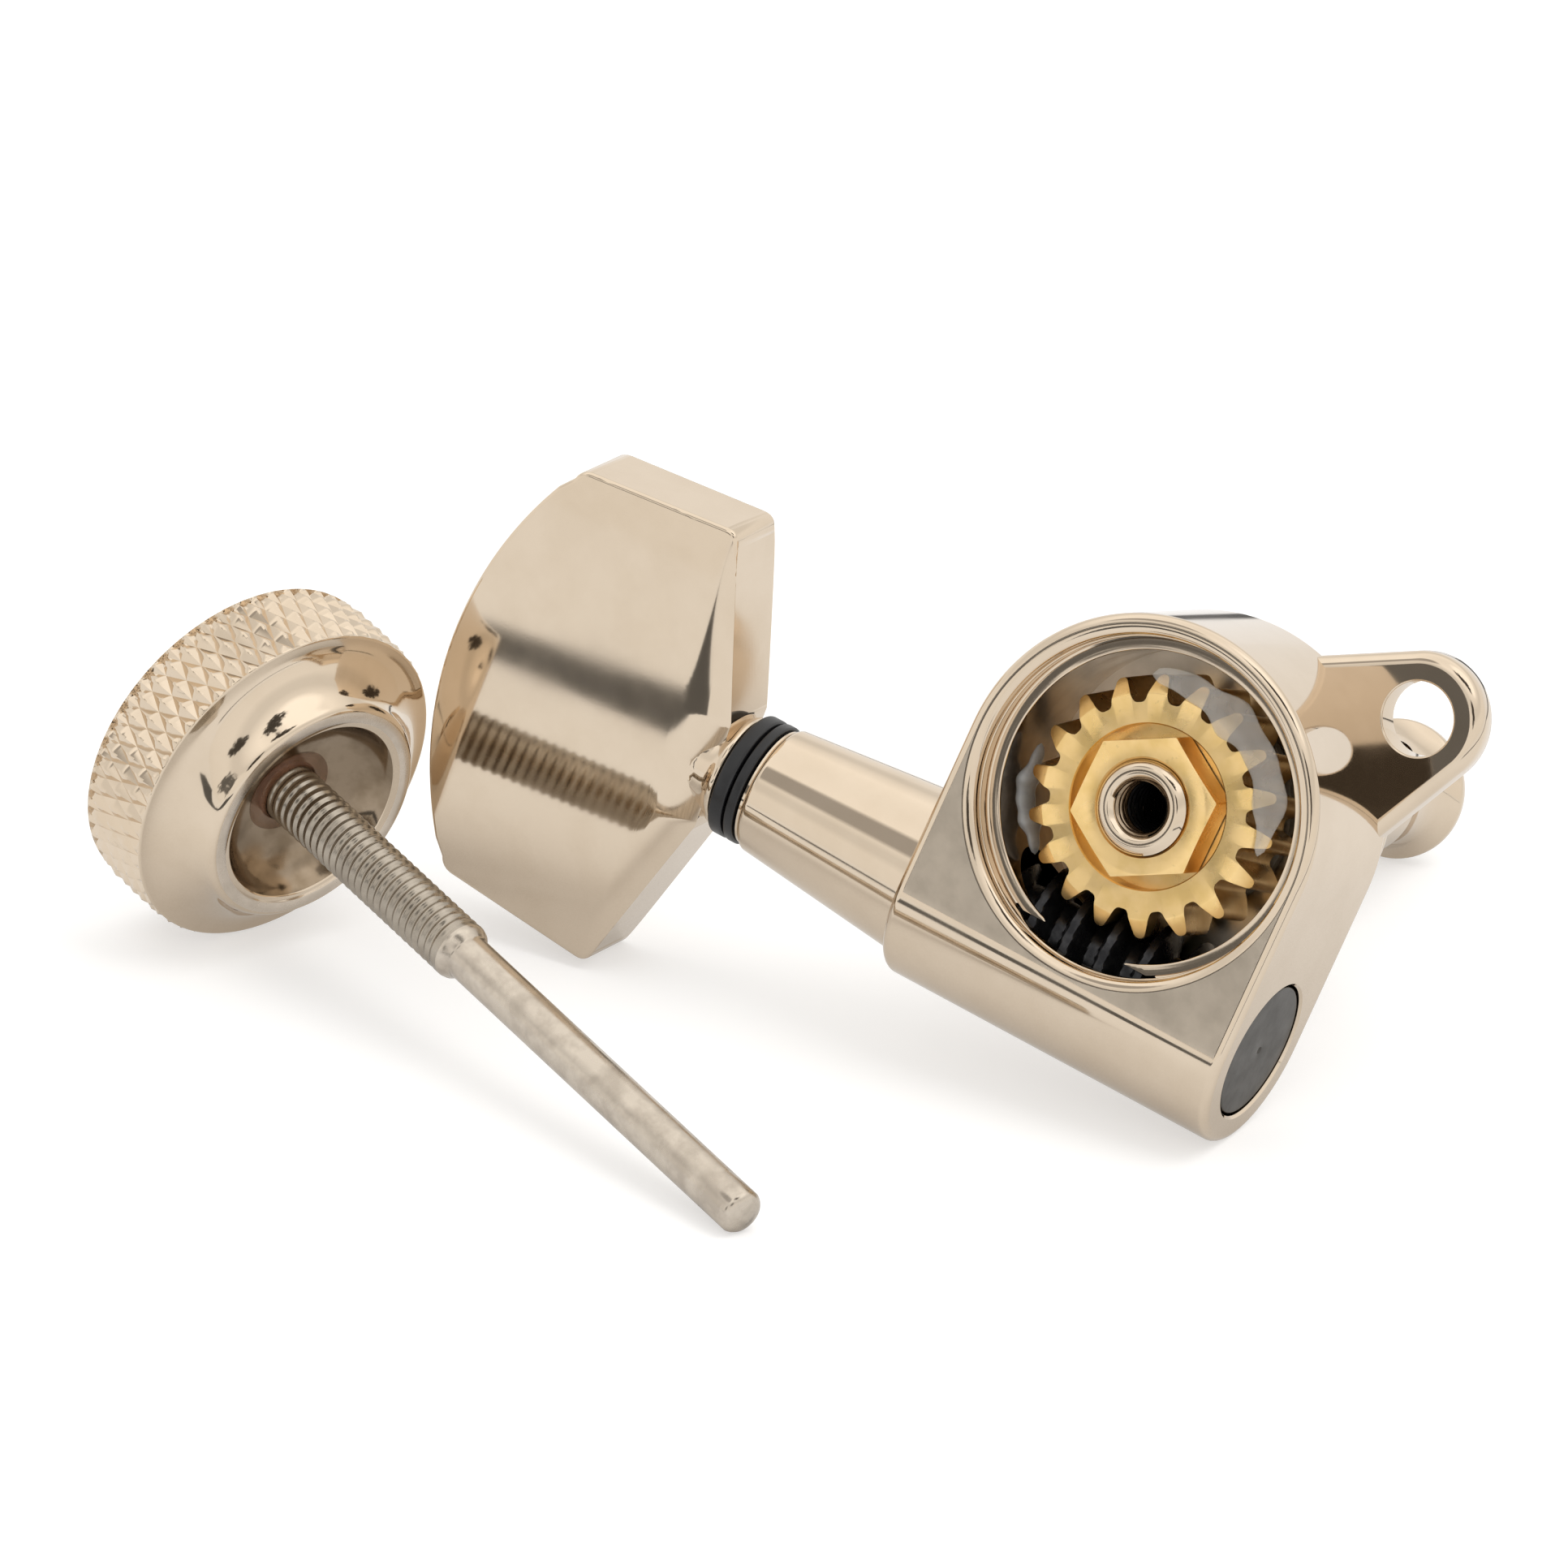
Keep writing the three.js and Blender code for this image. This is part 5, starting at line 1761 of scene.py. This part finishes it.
@dataclass
class LockingScrew:
    """The knurled thumbwheel, its threaded pin and the sealant that holds them together."""

    place: Placement
    finishes: Finishes
    rim: float = 8.45
    rim_soft: float = 0.5
    rim_band: float = 0.12
    back: Profile = ((0.0, -0.35), (4.7, -0.22), (6.9, -0.02))
    knurl_width: float = 4.2
    knurl_depth: float = 0.31
    knurl_bend: float = 1.1
    diamonds: int = 52
    diamond_length: float = 2.1
    diamond_steps: int = 12
    front: float = 8.3
    front_slope: float = 0.7
    front_edge: Profile = ((0.0, 0.02), (-0.05, 0.07), (-0.14, 0.08), (-0.3, 0.09))
    flank: Profile = (
        (7.7, 0.16), (7.42, 0.27), (7.15, 0.43), (6.9, 0.62), (6.65, 0.84), (6.42, 1.08), (6.24, 1.3),
        (6.1, 1.52), (6.0, 1.74), (5.93, 1.92), (5.88, 2.08),
    )
    boss: float = 5.73
    boss_height: float = 2.42
    boss_wall: float = 1.05
    boss_edge: Profile = (
        (0.1, -0.22), (0.04, -0.14), (-0.03, -0.06), (-0.1, -0.015), (-0.18, 0.0),
    )
    hollow_edge: Profile = (
        (0.34, 0.0), (0.3, -0.05), (0.1, -0.06), (0.02, -0.12), (-0.14, -0.5), (-0.5, -1.05), (-1.15, -1.58),
    )
    hollow_depth: float = 2.0
    hollow_floor: float = 2.3
    rod_play: float = 0.12
    rod_hole_depth: float = 0.6
    rod_start: float = 0.55
    thread: float = 1.47
    thread_length: float = 14.65
    thread_pitch: float = 0.5
    thread_steps: int = 9
    thread_depth: float = 0.13
    thread_clear: float = 0.01
    thread_soft: float = 0.1
    run_out: float = 1.1
    thread_stop: float = 0.55
    thread_fade: float = 0.6
    thread_fade_share: float = 0.06
    thread_end: Profile = ((-0.08, -0.3),)
    shoulder: Profile = ((0.08, -0.02), (0.0, 0.12))
    pin: float = 1.12
    length: float = 36.2
    turning_marks: Profile = ((0.36, 0.02), (0.9, 0.015))
    mark_half: float = 0.08
    tip_edge: Profile = ((0.0, -0.42), (-0.05, -0.3), (-0.16, -0.16), (-0.36, -0.06))
    tip_face: Profile = ((0.62, -0.05), (0.58, -0.02), (0.4, -0.02), (0.36, 0.0), (0.12, 0.0), (0.0, -0.03))
    sealant_ring: Profile = ((2.15, -0.05), (2.12, 0.1), (1.85, 0.2), (1.62, 0.28))
    sealant_calm: float = 1.7
    sealant_wave: float = 0.3

    def floor(self) -> float:
        """Returns the height of the hollow's floor."""
        return self.boss_height - self.hollow_depth

    def knurl(self, angle: float, along: float, radius: float) -> float:
        """Gives how far the knurl's grooves cut in at a place on the rim.

        Args:
            angle: Angle round the wheel in radians.
            along: Height.
            radius: The rim's radius before the knurl is cut.

        Returns:
            The change of radius.
        """
        if radius < self.rim - self.rim_band:
            return 0.0
        spare = max(self.rim - self.front - max(-along, 0.0) * self.front_slope, 0.0)
        a = angle * self.diamonds / (2 * math.pi)
        b = along / self.diamond_length
        first = abs(((a + b) % 1.0) - 0.5) * 2
        second = abs(((a - b) % 1.0) - 0.5) * 2
        return -max(self.knurl_depth * max(first, second) ** self.knurl_bend, spare)

    def wheel(self) -> Mesh:
        """Builds the thumbwheel: back, knurled rim, conical flank, boss ring and hollow.

        Returns:
            The wheel.
        """
        inner = self.boss - self.boss_wall
        top, floor, soft = self.boss_height, self.floor(), self.rim_soft
        step = self.diamond_length / self.diamond_steps
        rows = int((self.knurl_width - soft) / step)
        hole, bottom = self.thread + self.rod_play, floor - self.rod_hole_depth
        profile = moved(self.back, 0.0, -self.knurl_width)
        profile += arc(self.rim - soft, -rows * step - 0.02, soft, -80, -8, 7)
        profile += line((self.rim, -rows * step), (self.rim, 0.0), rows)
        profile += [*moved(self.front_edge, self.front, 0.0), *self.flank]
        profile += [*moved(self.boss_edge, self.boss, top), *moved(self.hollow_edge, inner, top)]
        profile += [(self.hollow_floor, floor + 0.08), (hole, floor), (hole, bottom), (0.0, bottom)]
        bm = swollen(turned(profile, self.diamonds * self.diamond_steps), self.knurl)
        self.crease(bm)
        return bm

    def crease(self, bm: Mesh) -> None:
        """Splits the knurl's squares along the diagonal that lies lower, so that its grooves run straight.

        Args:
            bm: The wheel's mesh.
        """
        low = self.rim - self.knurl_depth - 0.05
        for face in [f for f in bm.faces if len(f.verts) == 4]:
            out = [v.co.xy.length for v in face.verts]
            if min(out) < low:
                continue
            first = out[0] + out[2] < out[1] + out[3]
            pair = (face.verts[0], face.verts[2]) if first else (face.verts[1], face.verts[3])
            bmesh.utils.face_split(face, *pair)

    def rod(self) -> Mesh:
        """Builds the threaded pin, with its shoulder, the lathe's marks on it and its turned tip.

        Returns:
            The pin.
        """
        start, thread_start = self.floor() - self.rod_start, self.floor() - self.thread_soft
        core, end, half = self.thread - self.thread_soft, self.thread_length, self.mark_half
        steps = round((end - self.run_out - thread_start) / self.thread_pitch * self.thread_steps)
        profile = [(0.0, start), (core, start), (core, thread_start - 0.05)]
        profile += line((self.thread, thread_start), (self.thread, end - self.thread_stop), steps)
        profile += [*moved(self.thread_end, self.thread, end), *moved(self.shoulder, self.pin, end)]
        for share, depth in self.turning_marks:
            spot = end + (self.length - end) * share
            profile += [(self.pin, spot - half), (self.pin - depth, spot), (self.pin, spot + half)]
        profile += [*moved(self.tip_edge, self.pin, self.length), *moved(self.tip_face, 0.0, self.length)]
        return swollen(turned(profile, 60), self.ridges)

    def ridges(self, angle: float, along: float, radius: float) -> float:
        """Gives the rise of the pin's rounded thread, which runs out at its far end.

        Args:
            angle: Angle round the pin.
            along: Height.
            radius: The plain radius.

        Returns:
            The change of radius.
        """
        if abs(radius - self.thread) > NEAR or along > self.thread_length - self.thread_stop + HAIR:
            return 0.0
        phase = 2 * math.pi * along / self.thread_pitch - angle
        groove = self.thread_depth * (1.0 - math.cos(phase)) / 2
        fading = (self.thread_length - self.run_out) * self.thread_fade_share
        fade = min(max((self.thread_length - self.thread_fade - along) / fading, 0.0), 1.0)
        return -groove * fade - self.thread_clear

    def sealant(self) -> Mesh:
        """Builds the ring of red sealant at the foot of the pin.

        Returns:
            The ring, uneven at its outer edge.
        """
        floor, inner = self.floor(), self.thread + 0.02
        ring = [(inner, -self.thread_soft), *self.sealant_ring, (inner, 0.3)]
        return swollen(turned(moved(ring, 0.0, floor), 64), self.sealant_edge)

    def sealant_edge(self, angle: float, along: float, radius: float) -> float:
        """Gives how far the sealant spreads at a place on its ring.

        Args:
            angle: Angle round the pin.
            along: Height, not needed.
            radius: The plain radius.

        Returns:
            The change of radius.
        """
        if radius < self.sealant_calm:
            return 0.0
        return self.sealant_wave * math.sin(2 * angle + 0.6) * (radius - self.sealant_calm)

    def wheel_finish(self, middle: Vector, normal: Vector) -> int:
        """Picks the turned finish on the boss's ring and, in its hollow, the darker oil-and-shade finish,
        which paints the hollow's shade.

        Args:
            middle: The face's middle.
            normal: The face's outward direction.

        Returns:
            The finish's place in the wheel's list.
        """
        # painted shade: the hollow takes the darker oil-and-shade finish
        if middle.xy.length < self.boss - self.boss_wall and middle.z > -1.0:
            return 2
        return int(normal.z > LEVEL and middle.z > self.boss_height - HAIR)

    def rod_finish(self, middle: Vector, normal: Vector) -> int:
        """Picks the cut finish on the thread and the turned one past it.

        Args:
            middle: The face's middle.
            normal: The face's outward direction, not needed.

        Returns:
            The finish's place in the pin's list.
        """
        return int(middle.z < self.thread_length - self.thread_stop + HAIR)

    def build(self) -> None:
        """Builds and shows the pieces."""
        f = self.finishes
        body = Body.LOCKING_SCREW
        Piece(
            "knurled_wheel", body, Slot.NICKEL, [f.polished, f.turned_ring, f.oil_and_shade], ["locking_wheel"],
            sharp=60, paint=self.wheel_finish,
        ).show(self.wheel(), self.place)
        Piece(
            "threaded_pin", body, Slot.STEEL, [f.turned_steel, f.thread_steel], ["locking_pin"],
            sharp=60, paint=self.rod_finish,
        ).show(self.rod(), self.place)
        Piece("thread_sealant", body, Slot.BRONZE, [f.sealant], sharp=180).show(self.sealant(), self.place)


@dataclass
class View:
    """The photograph's camera, held in the tuner's own frame in millimetres.

    Attributes:
        place: The tuner's frame.
        location: Where the camera stands.
        right: The picture's rightward direction.
        up: The picture's upward direction.
        focal_share: Focal length in picture widths.
        sensor: The sensor's width.
        near: Nearest distance seen, in metres.
        far: Farthest distance seen, in metres.
    """

    place: Placement
    location: Triple = (-284.265, -167.804, 868.492)
    right: Triple = (-0.833618, -0.406387, -0.374073)
    up: Triple = (0.447236, -0.894056, -0.02537)
    focal_share: float = 12.7329
    sensor: float = 36.0
    near: float = 0.05
    far: float = 20.0

    def build(self) -> None:
        """Builds the camera and makes it the scene's."""
        data = bpy.data.cameras.new("camera")
        data.sensor_width = self.sensor
        data.lens = self.focal_share * self.sensor
        data.clip_start = self.near
        data.clip_end = self.far
        camera = bpy.data.objects.new("camera", data)
        bpy.context.scene.collection.objects.link(camera)
        turn = self.place.turn().to_3x3()
        right = (turn @ Vector(self.right)).normalized()
        up = (turn @ Vector(self.up)).normalized()
        facing = Matrix((right, up, right.cross(up))).transposed().to_4x4()
        camera.matrix_world = Matrix.Translation(self.place.matrix() @ Vector(self.location)) @ facing
        bpy.context.scene.camera = camera
        log.info("camera: placed")


@dataclass(frozen=True)
class Patch:
    """A soft-edged patch of the surroundings, seen only in the plating.

    Attributes:
        toward: The direction in which it stands.
        edge: Cosines, from its direction, at which it begins and at which it is full.
        colour: Its colour.
        ragged: How far a noise moves its edge; a torn edge looks like a thing and not like a dot.
        tears: The noise's scale.
    """

    toward: Triple
    edge: Point
    colour: Colour
    ragged: float = 0.0
    tears: float = 16.0

    def over(self, nodes: Nodes, direction: Socket, sky: Socket) -> Socket:
        """Lays the patch over the sky.

        Args:
            nodes: The world's node tree.
            direction: The direction looked in.
            sky: The colour so far.

        Returns:
            The colour with the patch.
        """
        near = nodes.vector("DOT_PRODUCT", direction, tuple(Vector(self.toward).normalized()))
        if self.ragged > 0:
            torn = nodes.math("SUBTRACT", nodes.noise(direction, self.tears), 0.5)
            near = nodes.math("ADD", near, nodes.math("MULTIPLY", torn, self.ragged))
        return nodes.blend(nodes.ramp(near, *self.edge, 0.0, 1.0), sky, self.colour)


SOFTBOX = Patch((0.364, -0.198, 0.91), (0.9001, 0.9501), (1.0, 0.99, 0.97))
ONLOOKER_EDGE = (0.985, 0.99)
ONLOOKER_TONE = (0.05, 0.045, 0.04)
ONLOOKERS = tuple(
    Patch(toward, ONLOOKER_EDGE, ONLOOKER_TONE, ragged=0.05)
    for toward in ((0.20, -0.50, 0.84), (0.02, -0.48, 0.877), (-0.053, -0.898, 0.43))
)
DIM_SIDE = Patch((-0.58, -0.27, 0.77), (0.97393, 0.98891), (0.33, 0.32, 0.31))
SCREEN = Patch((-0.67, -0.705, 0.23), (0.985, 0.993), (0.11, 0.107, 0.104), ragged=0.05)


@dataclass
class Surroundings:
    """White to the camera, and bands and patches of light and shade to the plating.

    Attributes:
        bands: Heights, from -1 straight down to 1 straight up, and how bright the band is there.
        strength: The level that the brightest colour stands for.
        tint: How much of red, green and blue a band holds.
        patches: What stands in front of the bands.
    """

    bands: Sequence[Point] = (
        (-1.0, 0.5), (-0.05, 1.0), (0.04, 1.04), (0.30, 1.06), (0.42, 0.92), (0.52, 0.92), (0.64, 1.1),
        (0.80, 1.3), (1.0, 1.2),
    )
    strength: float = 1.5
    tint: Colour = (1.0, 0.985, 0.96)
    patches: Sequence[Patch] = (SOFTBOX, *ONLOOKERS, DIM_SIDE, SCREEN)

    def sky(self, nodes: Nodes, direction: Socket) -> Socket:
        """Builds the bands.

        Args:
            nodes: The world's node tree.
            direction: The direction looked in.

        Returns:
            The colour's socket.
        """
        ramp = nodes.add("ValToRGB")
        nodes.feed(ramp.inputs[0], nodes.ramp(nodes.part(direction, "Z"), -1.0, 1.0, 0.0, 1.0))
        stops = ramp.color_ramp.elements
        while len(stops) > 1:
            stops.remove(stops[-1])
        for index, (height, level) in enumerate(self.bands):
            stop = stops[0] if index == 0 else stops.new((height + 1) / 2)
            stop.position = (height + 1) / 2
            stop.color = (*(level / self.strength * share for share in self.tint), 1.0)
        return ramp.outputs["Color"]

    def build(self) -> None:
        """Builds the world."""
        world = bpy.data.worlds.new("surroundings")
        bpy.context.scene.world = world
        world.use_nodes = True
        nodes = Nodes(world.node_tree)
        direction = nodes.add("TexCoord").outputs["Generated"]
        sky = self.sky(nodes, direction)
        for patch in self.patches:
            sky = patch.over(nodes, direction, sky)
        white = (1.0 / self.strength,) * 3
        seen = nodes.blend(nodes.add("LightPath").outputs["Is Camera Ray"], sky, white)
        background = world.node_tree.nodes["Background"]
        nodes.feed(background.inputs["Color"], seen)
        background.inputs["Strength"].default_value = self.strength
        log.info("surroundings: %d patches", len(self.patches))


@dataclass
class Table:
    """The white table top, and the share of it that looks bright in the plating, a painted reflection with
    painted shade under the object.

    Attributes:
        radius: Its radius in metres, as all its lengths.
        colour: Its colour.
        roughness: Its roughness.
        glow: How far it is lifted to the camera, to make a white ground.
        mirrored_level: How bright its lit part is in the plating.
        mirrored_shade: Its colour in the plating where the object shades it.
        shaded_level: How bright it is in the plating close under the object.
        shade_reach: How far the object's shade reaches.
        shade_span: How open to the sky the table is where the shade is full and where it ends.
        gap_level: How bright its dark parts are in the plating.
        gap_left: Where the dark gap ends on the left.
        gap_radius: Where the dark gap ends all round.
        bright_discs: Centres and radii of the parts close to the object, which are bright.
        wedge_angle: Heading in degrees of a dark wedge beside the camera.
        wedge_half: Sine of half the wedge's angle.
        wedge_seen_from: The place on the button that sees the wedge.
        wedge_tip: Upward parts of the heading between which the wedge narrows to nothing.
        wedge_soft: Where the wedge's edge begins and ends, as sines.
        wedge_front: Cosines between which the wedge's own side of the table begins.
        past_wedge: How far past the wedge's edge the middle of the lit part lies, as a sine.
        past_edge: Half the lit part's width where it is full and where it ends, as sines.
    """

    radius: float = 0.42
    colour: Colour = (0.55, 0.545, 0.54)
    roughness: float = 0.8
    glow: float = 0.5
    mirrored_level: float = 1.04
    mirrored_shade: Colour = (1.0, 0.92, 0.83)
    shaded_level: float = 0.5
    shade_reach: float = 0.03
    shade_span: Point = (0.3, 0.92)
    gap_level: float = 0.13
    gap_left: float = -0.0905
    gap_radius: float = 0.110
    bright_discs: Sequence[Triple] = ((-0.040, 0.030, 0.0745), (0.020, 0.0, 0.080))
    wedge_angle: float = -124.0
    wedge_half: float = 0.30
    wedge_seen_from: Triple = (-0.0056, 0.0041, 0.0155)
    wedge_tip: Point = (-0.14, -0.05)
    wedge_soft: Point = (-0.006, 0.012)
    wedge_front: Point = (0.4, 0.5)
    past_wedge: float = 0.27
    past_edge: Point = (0.26, 0.28)

    def build(self) -> None:
        """Builds the round table top."""
        bm = bmesh.new()
        bmesh.ops.create_circle(bm, cap_ends=True, segments=96, radius=self.radius)
        table = bpy.data.objects.new("table", as_mesh(bm, "table"))
        bpy.context.scene.collection.objects.link(table)
        table.data.materials.append(self.material())
        log.info("table: placed")

    def material(self) -> Material:
        """Builds the table's material: a plain one, and a glow of its own in the plating, which paints the
        table's reflection.

        Returns:
            The material.
        """
        material = bpy.data.materials.new("table_white")
        material.use_nodes = True
        nodes = Nodes(material.node_tree)
        shader = material.node_tree.nodes["Principled BSDF"]
        shader.inputs["Base Color"].default_value = (*self.colour, 1.0)
        shader.inputs["Roughness"].default_value = self.roughness
        shader.inputs["Emission Color"].default_value = (1.0, 1.0, 1.0, 1.0)
        path = nodes.add("LightPath")
        lift = nodes.math("MULTIPLY", path.outputs["Is Camera Ray"], self.glow)
        nodes.feed(shader.inputs["Emission Strength"], lift)
        choose = nodes.add("MixShader")
        nodes.feed(choose.inputs[0], path.outputs["Is Glossy Ray"])
        nodes.feed(choose.inputs[1], shader.outputs[0])
        nodes.feed(choose.inputs[2], self.mirrored(nodes))
        nodes.feed(material.node_tree.nodes["Material Output"].inputs["Surface"], choose.outputs[0])
        return material

    def mirrored(self, nodes: Nodes) -> Socket:
        """Builds the table as the plating mirrors it: a painted reflection, with painted shade where the
        object stands close.

        Args:
            nodes: The table's node tree.

        Returns:
            The shader's socket.
        """
        glow = nodes.add("Emission")
        # painted shade: the glow dims where the object stands close over the table
        open_sky = nodes.add("AmbientOcclusion", samples=4)
        open_sky.inputs["Distance"].default_value = self.shade_reach
        darkest = self.shaded_level / self.mirrored_level
        lit = nodes.ramp(open_sky.outputs["AO"], *self.shade_span, darkest, 1.0)
        nodes.feed(glow.inputs["Color"], nodes.blend(lit, self.mirrored_shade, (1.0, 1.0, 1.0)))
        # painted reflection: bright parts and dark gaps of the table's glow, laid out by masks
        level = nodes.ramp(self.bright_share(nodes), 0.0, 1.0, self.gap_level, self.mirrored_level)
        nodes.feed(glow.inputs["Strength"], nodes.math("MULTIPLY", level, lit))
        return glow.outputs[0]

    def bright_share(self, nodes: Nodes) -> Socket:
        """Works out where the table looks bright: near the object, and beyond a dark gap.

        Args:
            nodes: The table's node tree.

        Returns:
            The share's socket, from 0 to 1.
        """
        place = nodes.add("TexCoord").outputs["Object"]
        soft, sharp, ring = 0.004, 0.0012, 0.006
        across, away = nodes.part(place, "X"), nodes.vector("LENGTH", place)
        left = nodes.ramp(across, self.gap_left - soft, self.gap_left + soft, 1.0, 0.0)
        beyond = nodes.ramp(away, self.gap_radius - ring, self.gap_radius + ring, 0.0, 1.0)
        hidden, past = self.wedge(nodes, place)
        shown = nodes.math("SUBTRACT", 1.0, hidden)
        share = nodes.math("MINIMUM", nodes.math("MAXIMUM", left, beyond), shown)
        share = nodes.math("MAXIMUM", share, past)
        for x, y, radius in self.bright_discs:
            from_disc = nodes.vector("DISTANCE", place, (x, y, 0.0))
            near = nodes.ramp(from_disc, radius - sharp, radius + sharp, 1.0, 0.0)
            share = nodes.math("MAXIMUM", share, near)
        return share

    def wedge(self, nodes: Nodes, place: Socket) -> tuple[Socket, Socket]:
        """Works out the painted reflection of a dark wedge beside the camera, which hides part of the table
        from the button.

        Args:
            nodes: The table's node tree.
            place: The place on the table.

        Returns:
            The hidden part's share and the share of the lit part past it.
        """
        offset = nodes.vector("SUBTRACT", place, self.wedge_seen_from)
        heading = nodes.vector("NORMALIZE", offset)
        angle = math.radians(self.wedge_angle)
        ahead = nodes.vector("DOT_PRODUCT", heading, (math.cos(angle), math.sin(angle), 0.0))
        across = nodes.vector("DOT_PRODUCT", heading, (-math.sin(angle), math.cos(angle), 0.0))
        half = nodes.ramp(nodes.part(heading, "Z"), *self.wedge_tip, self.wedge_half, 0.0)
        spare = nodes.math("SUBTRACT", half, nodes.math("ABSOLUTE", across))
        inside = nodes.ramp(spare, *self.wedge_soft, 0.0, 1.0)
        facing = nodes.ramp(ahead, *self.wedge_front, 0.0, 1.0)
        past = nodes.math("ABSOLUTE", nodes.math("SUBTRACT", across, self.wedge_half + self.past_wedge))
        lit = nodes.math("MULTIPLY", nodes.ramp(past, *self.past_edge, 1.0, 0.0), facing)
        return nodes.math("MULTIPLY", inside, facing), lit


@dataclass
class Lamp:
    """A soft square lamp that looks at the object and isn't mirrored in it.

    Attributes:
        name: Its name.
        place: Where it stands, in metres.
        size: The length of its sides in metres.
        power: Its power in watts.
        target: The point it looks at.
    """

    name: str = "key"
    place: Triple = (0.22, -0.12, 0.55)
    size: float = 0.34
    power: float = 0.9
    target: Triple = (0.0, 0.0, 0.01)

    def build(self) -> None:
        """Builds the lamp."""
        data = bpy.data.lights.new(self.name, "AREA")
        data.shape = "RECTANGLE"
        data.size = self.size
        data.size_y = self.size
        data.energy = self.power
        lamp = bpy.data.objects.new(self.name, data)
        lamp.visible_glossy = False
        bpy.context.scene.collection.objects.link(lamp)
        lamp.location = self.place
        lamp.rotation_euler = (Vector(self.target) - Vector(self.place)).to_track_quat("-Z", "Y").to_euler()
        log.info("%s: %.1f W", self.name, self.power)


def dress_hidden_nodes(finishes: Finishes) -> None:
    """Gives the CAD nodes that stay as they are their finishes.

    Args:
        finishes: The materials.
    """
    hidden = {
        "gear_floor_washer": finishes.pale_nylon, "post_bearing": finishes.pale_nylon,
        "worm_thrust_washer": finishes.turned_steel, "worm_end_washer": finishes.turned_steel,
        "neck_bearing": finishes.bronze,
    }
    for name, material in hidden.items():
        frame["nodes"][name].data.materials.clear()
        frame["nodes"][name].data.materials.append(material)
        log.info("%s: kept from the CAD model", name)


def main() -> None:
    """Builds the scene."""
    logging.basicConfig(level=logging.INFO, format="%(name)s: %(message)s")
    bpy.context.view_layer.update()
    tuner = tuner_placement()
    screw = screw_placement()
    finishes = Finishes()
    View(tuner).build()
    Casing(tuner, finishes).build()
    WormDrive(tuner, finishes).build()
    GearTrain(tuner, finishes).build()
    HeadstockHardware(tuner, finishes).build()
    LockingScrew(screw, finishes).build()
    dress_hidden_nodes(finishes)
    Table().build()
    Surroundings().build()
    Lamp().build()
    bpy.context.scene.view_settings.view_transform = "Standard"


if __name__ == "__main__":
    main()
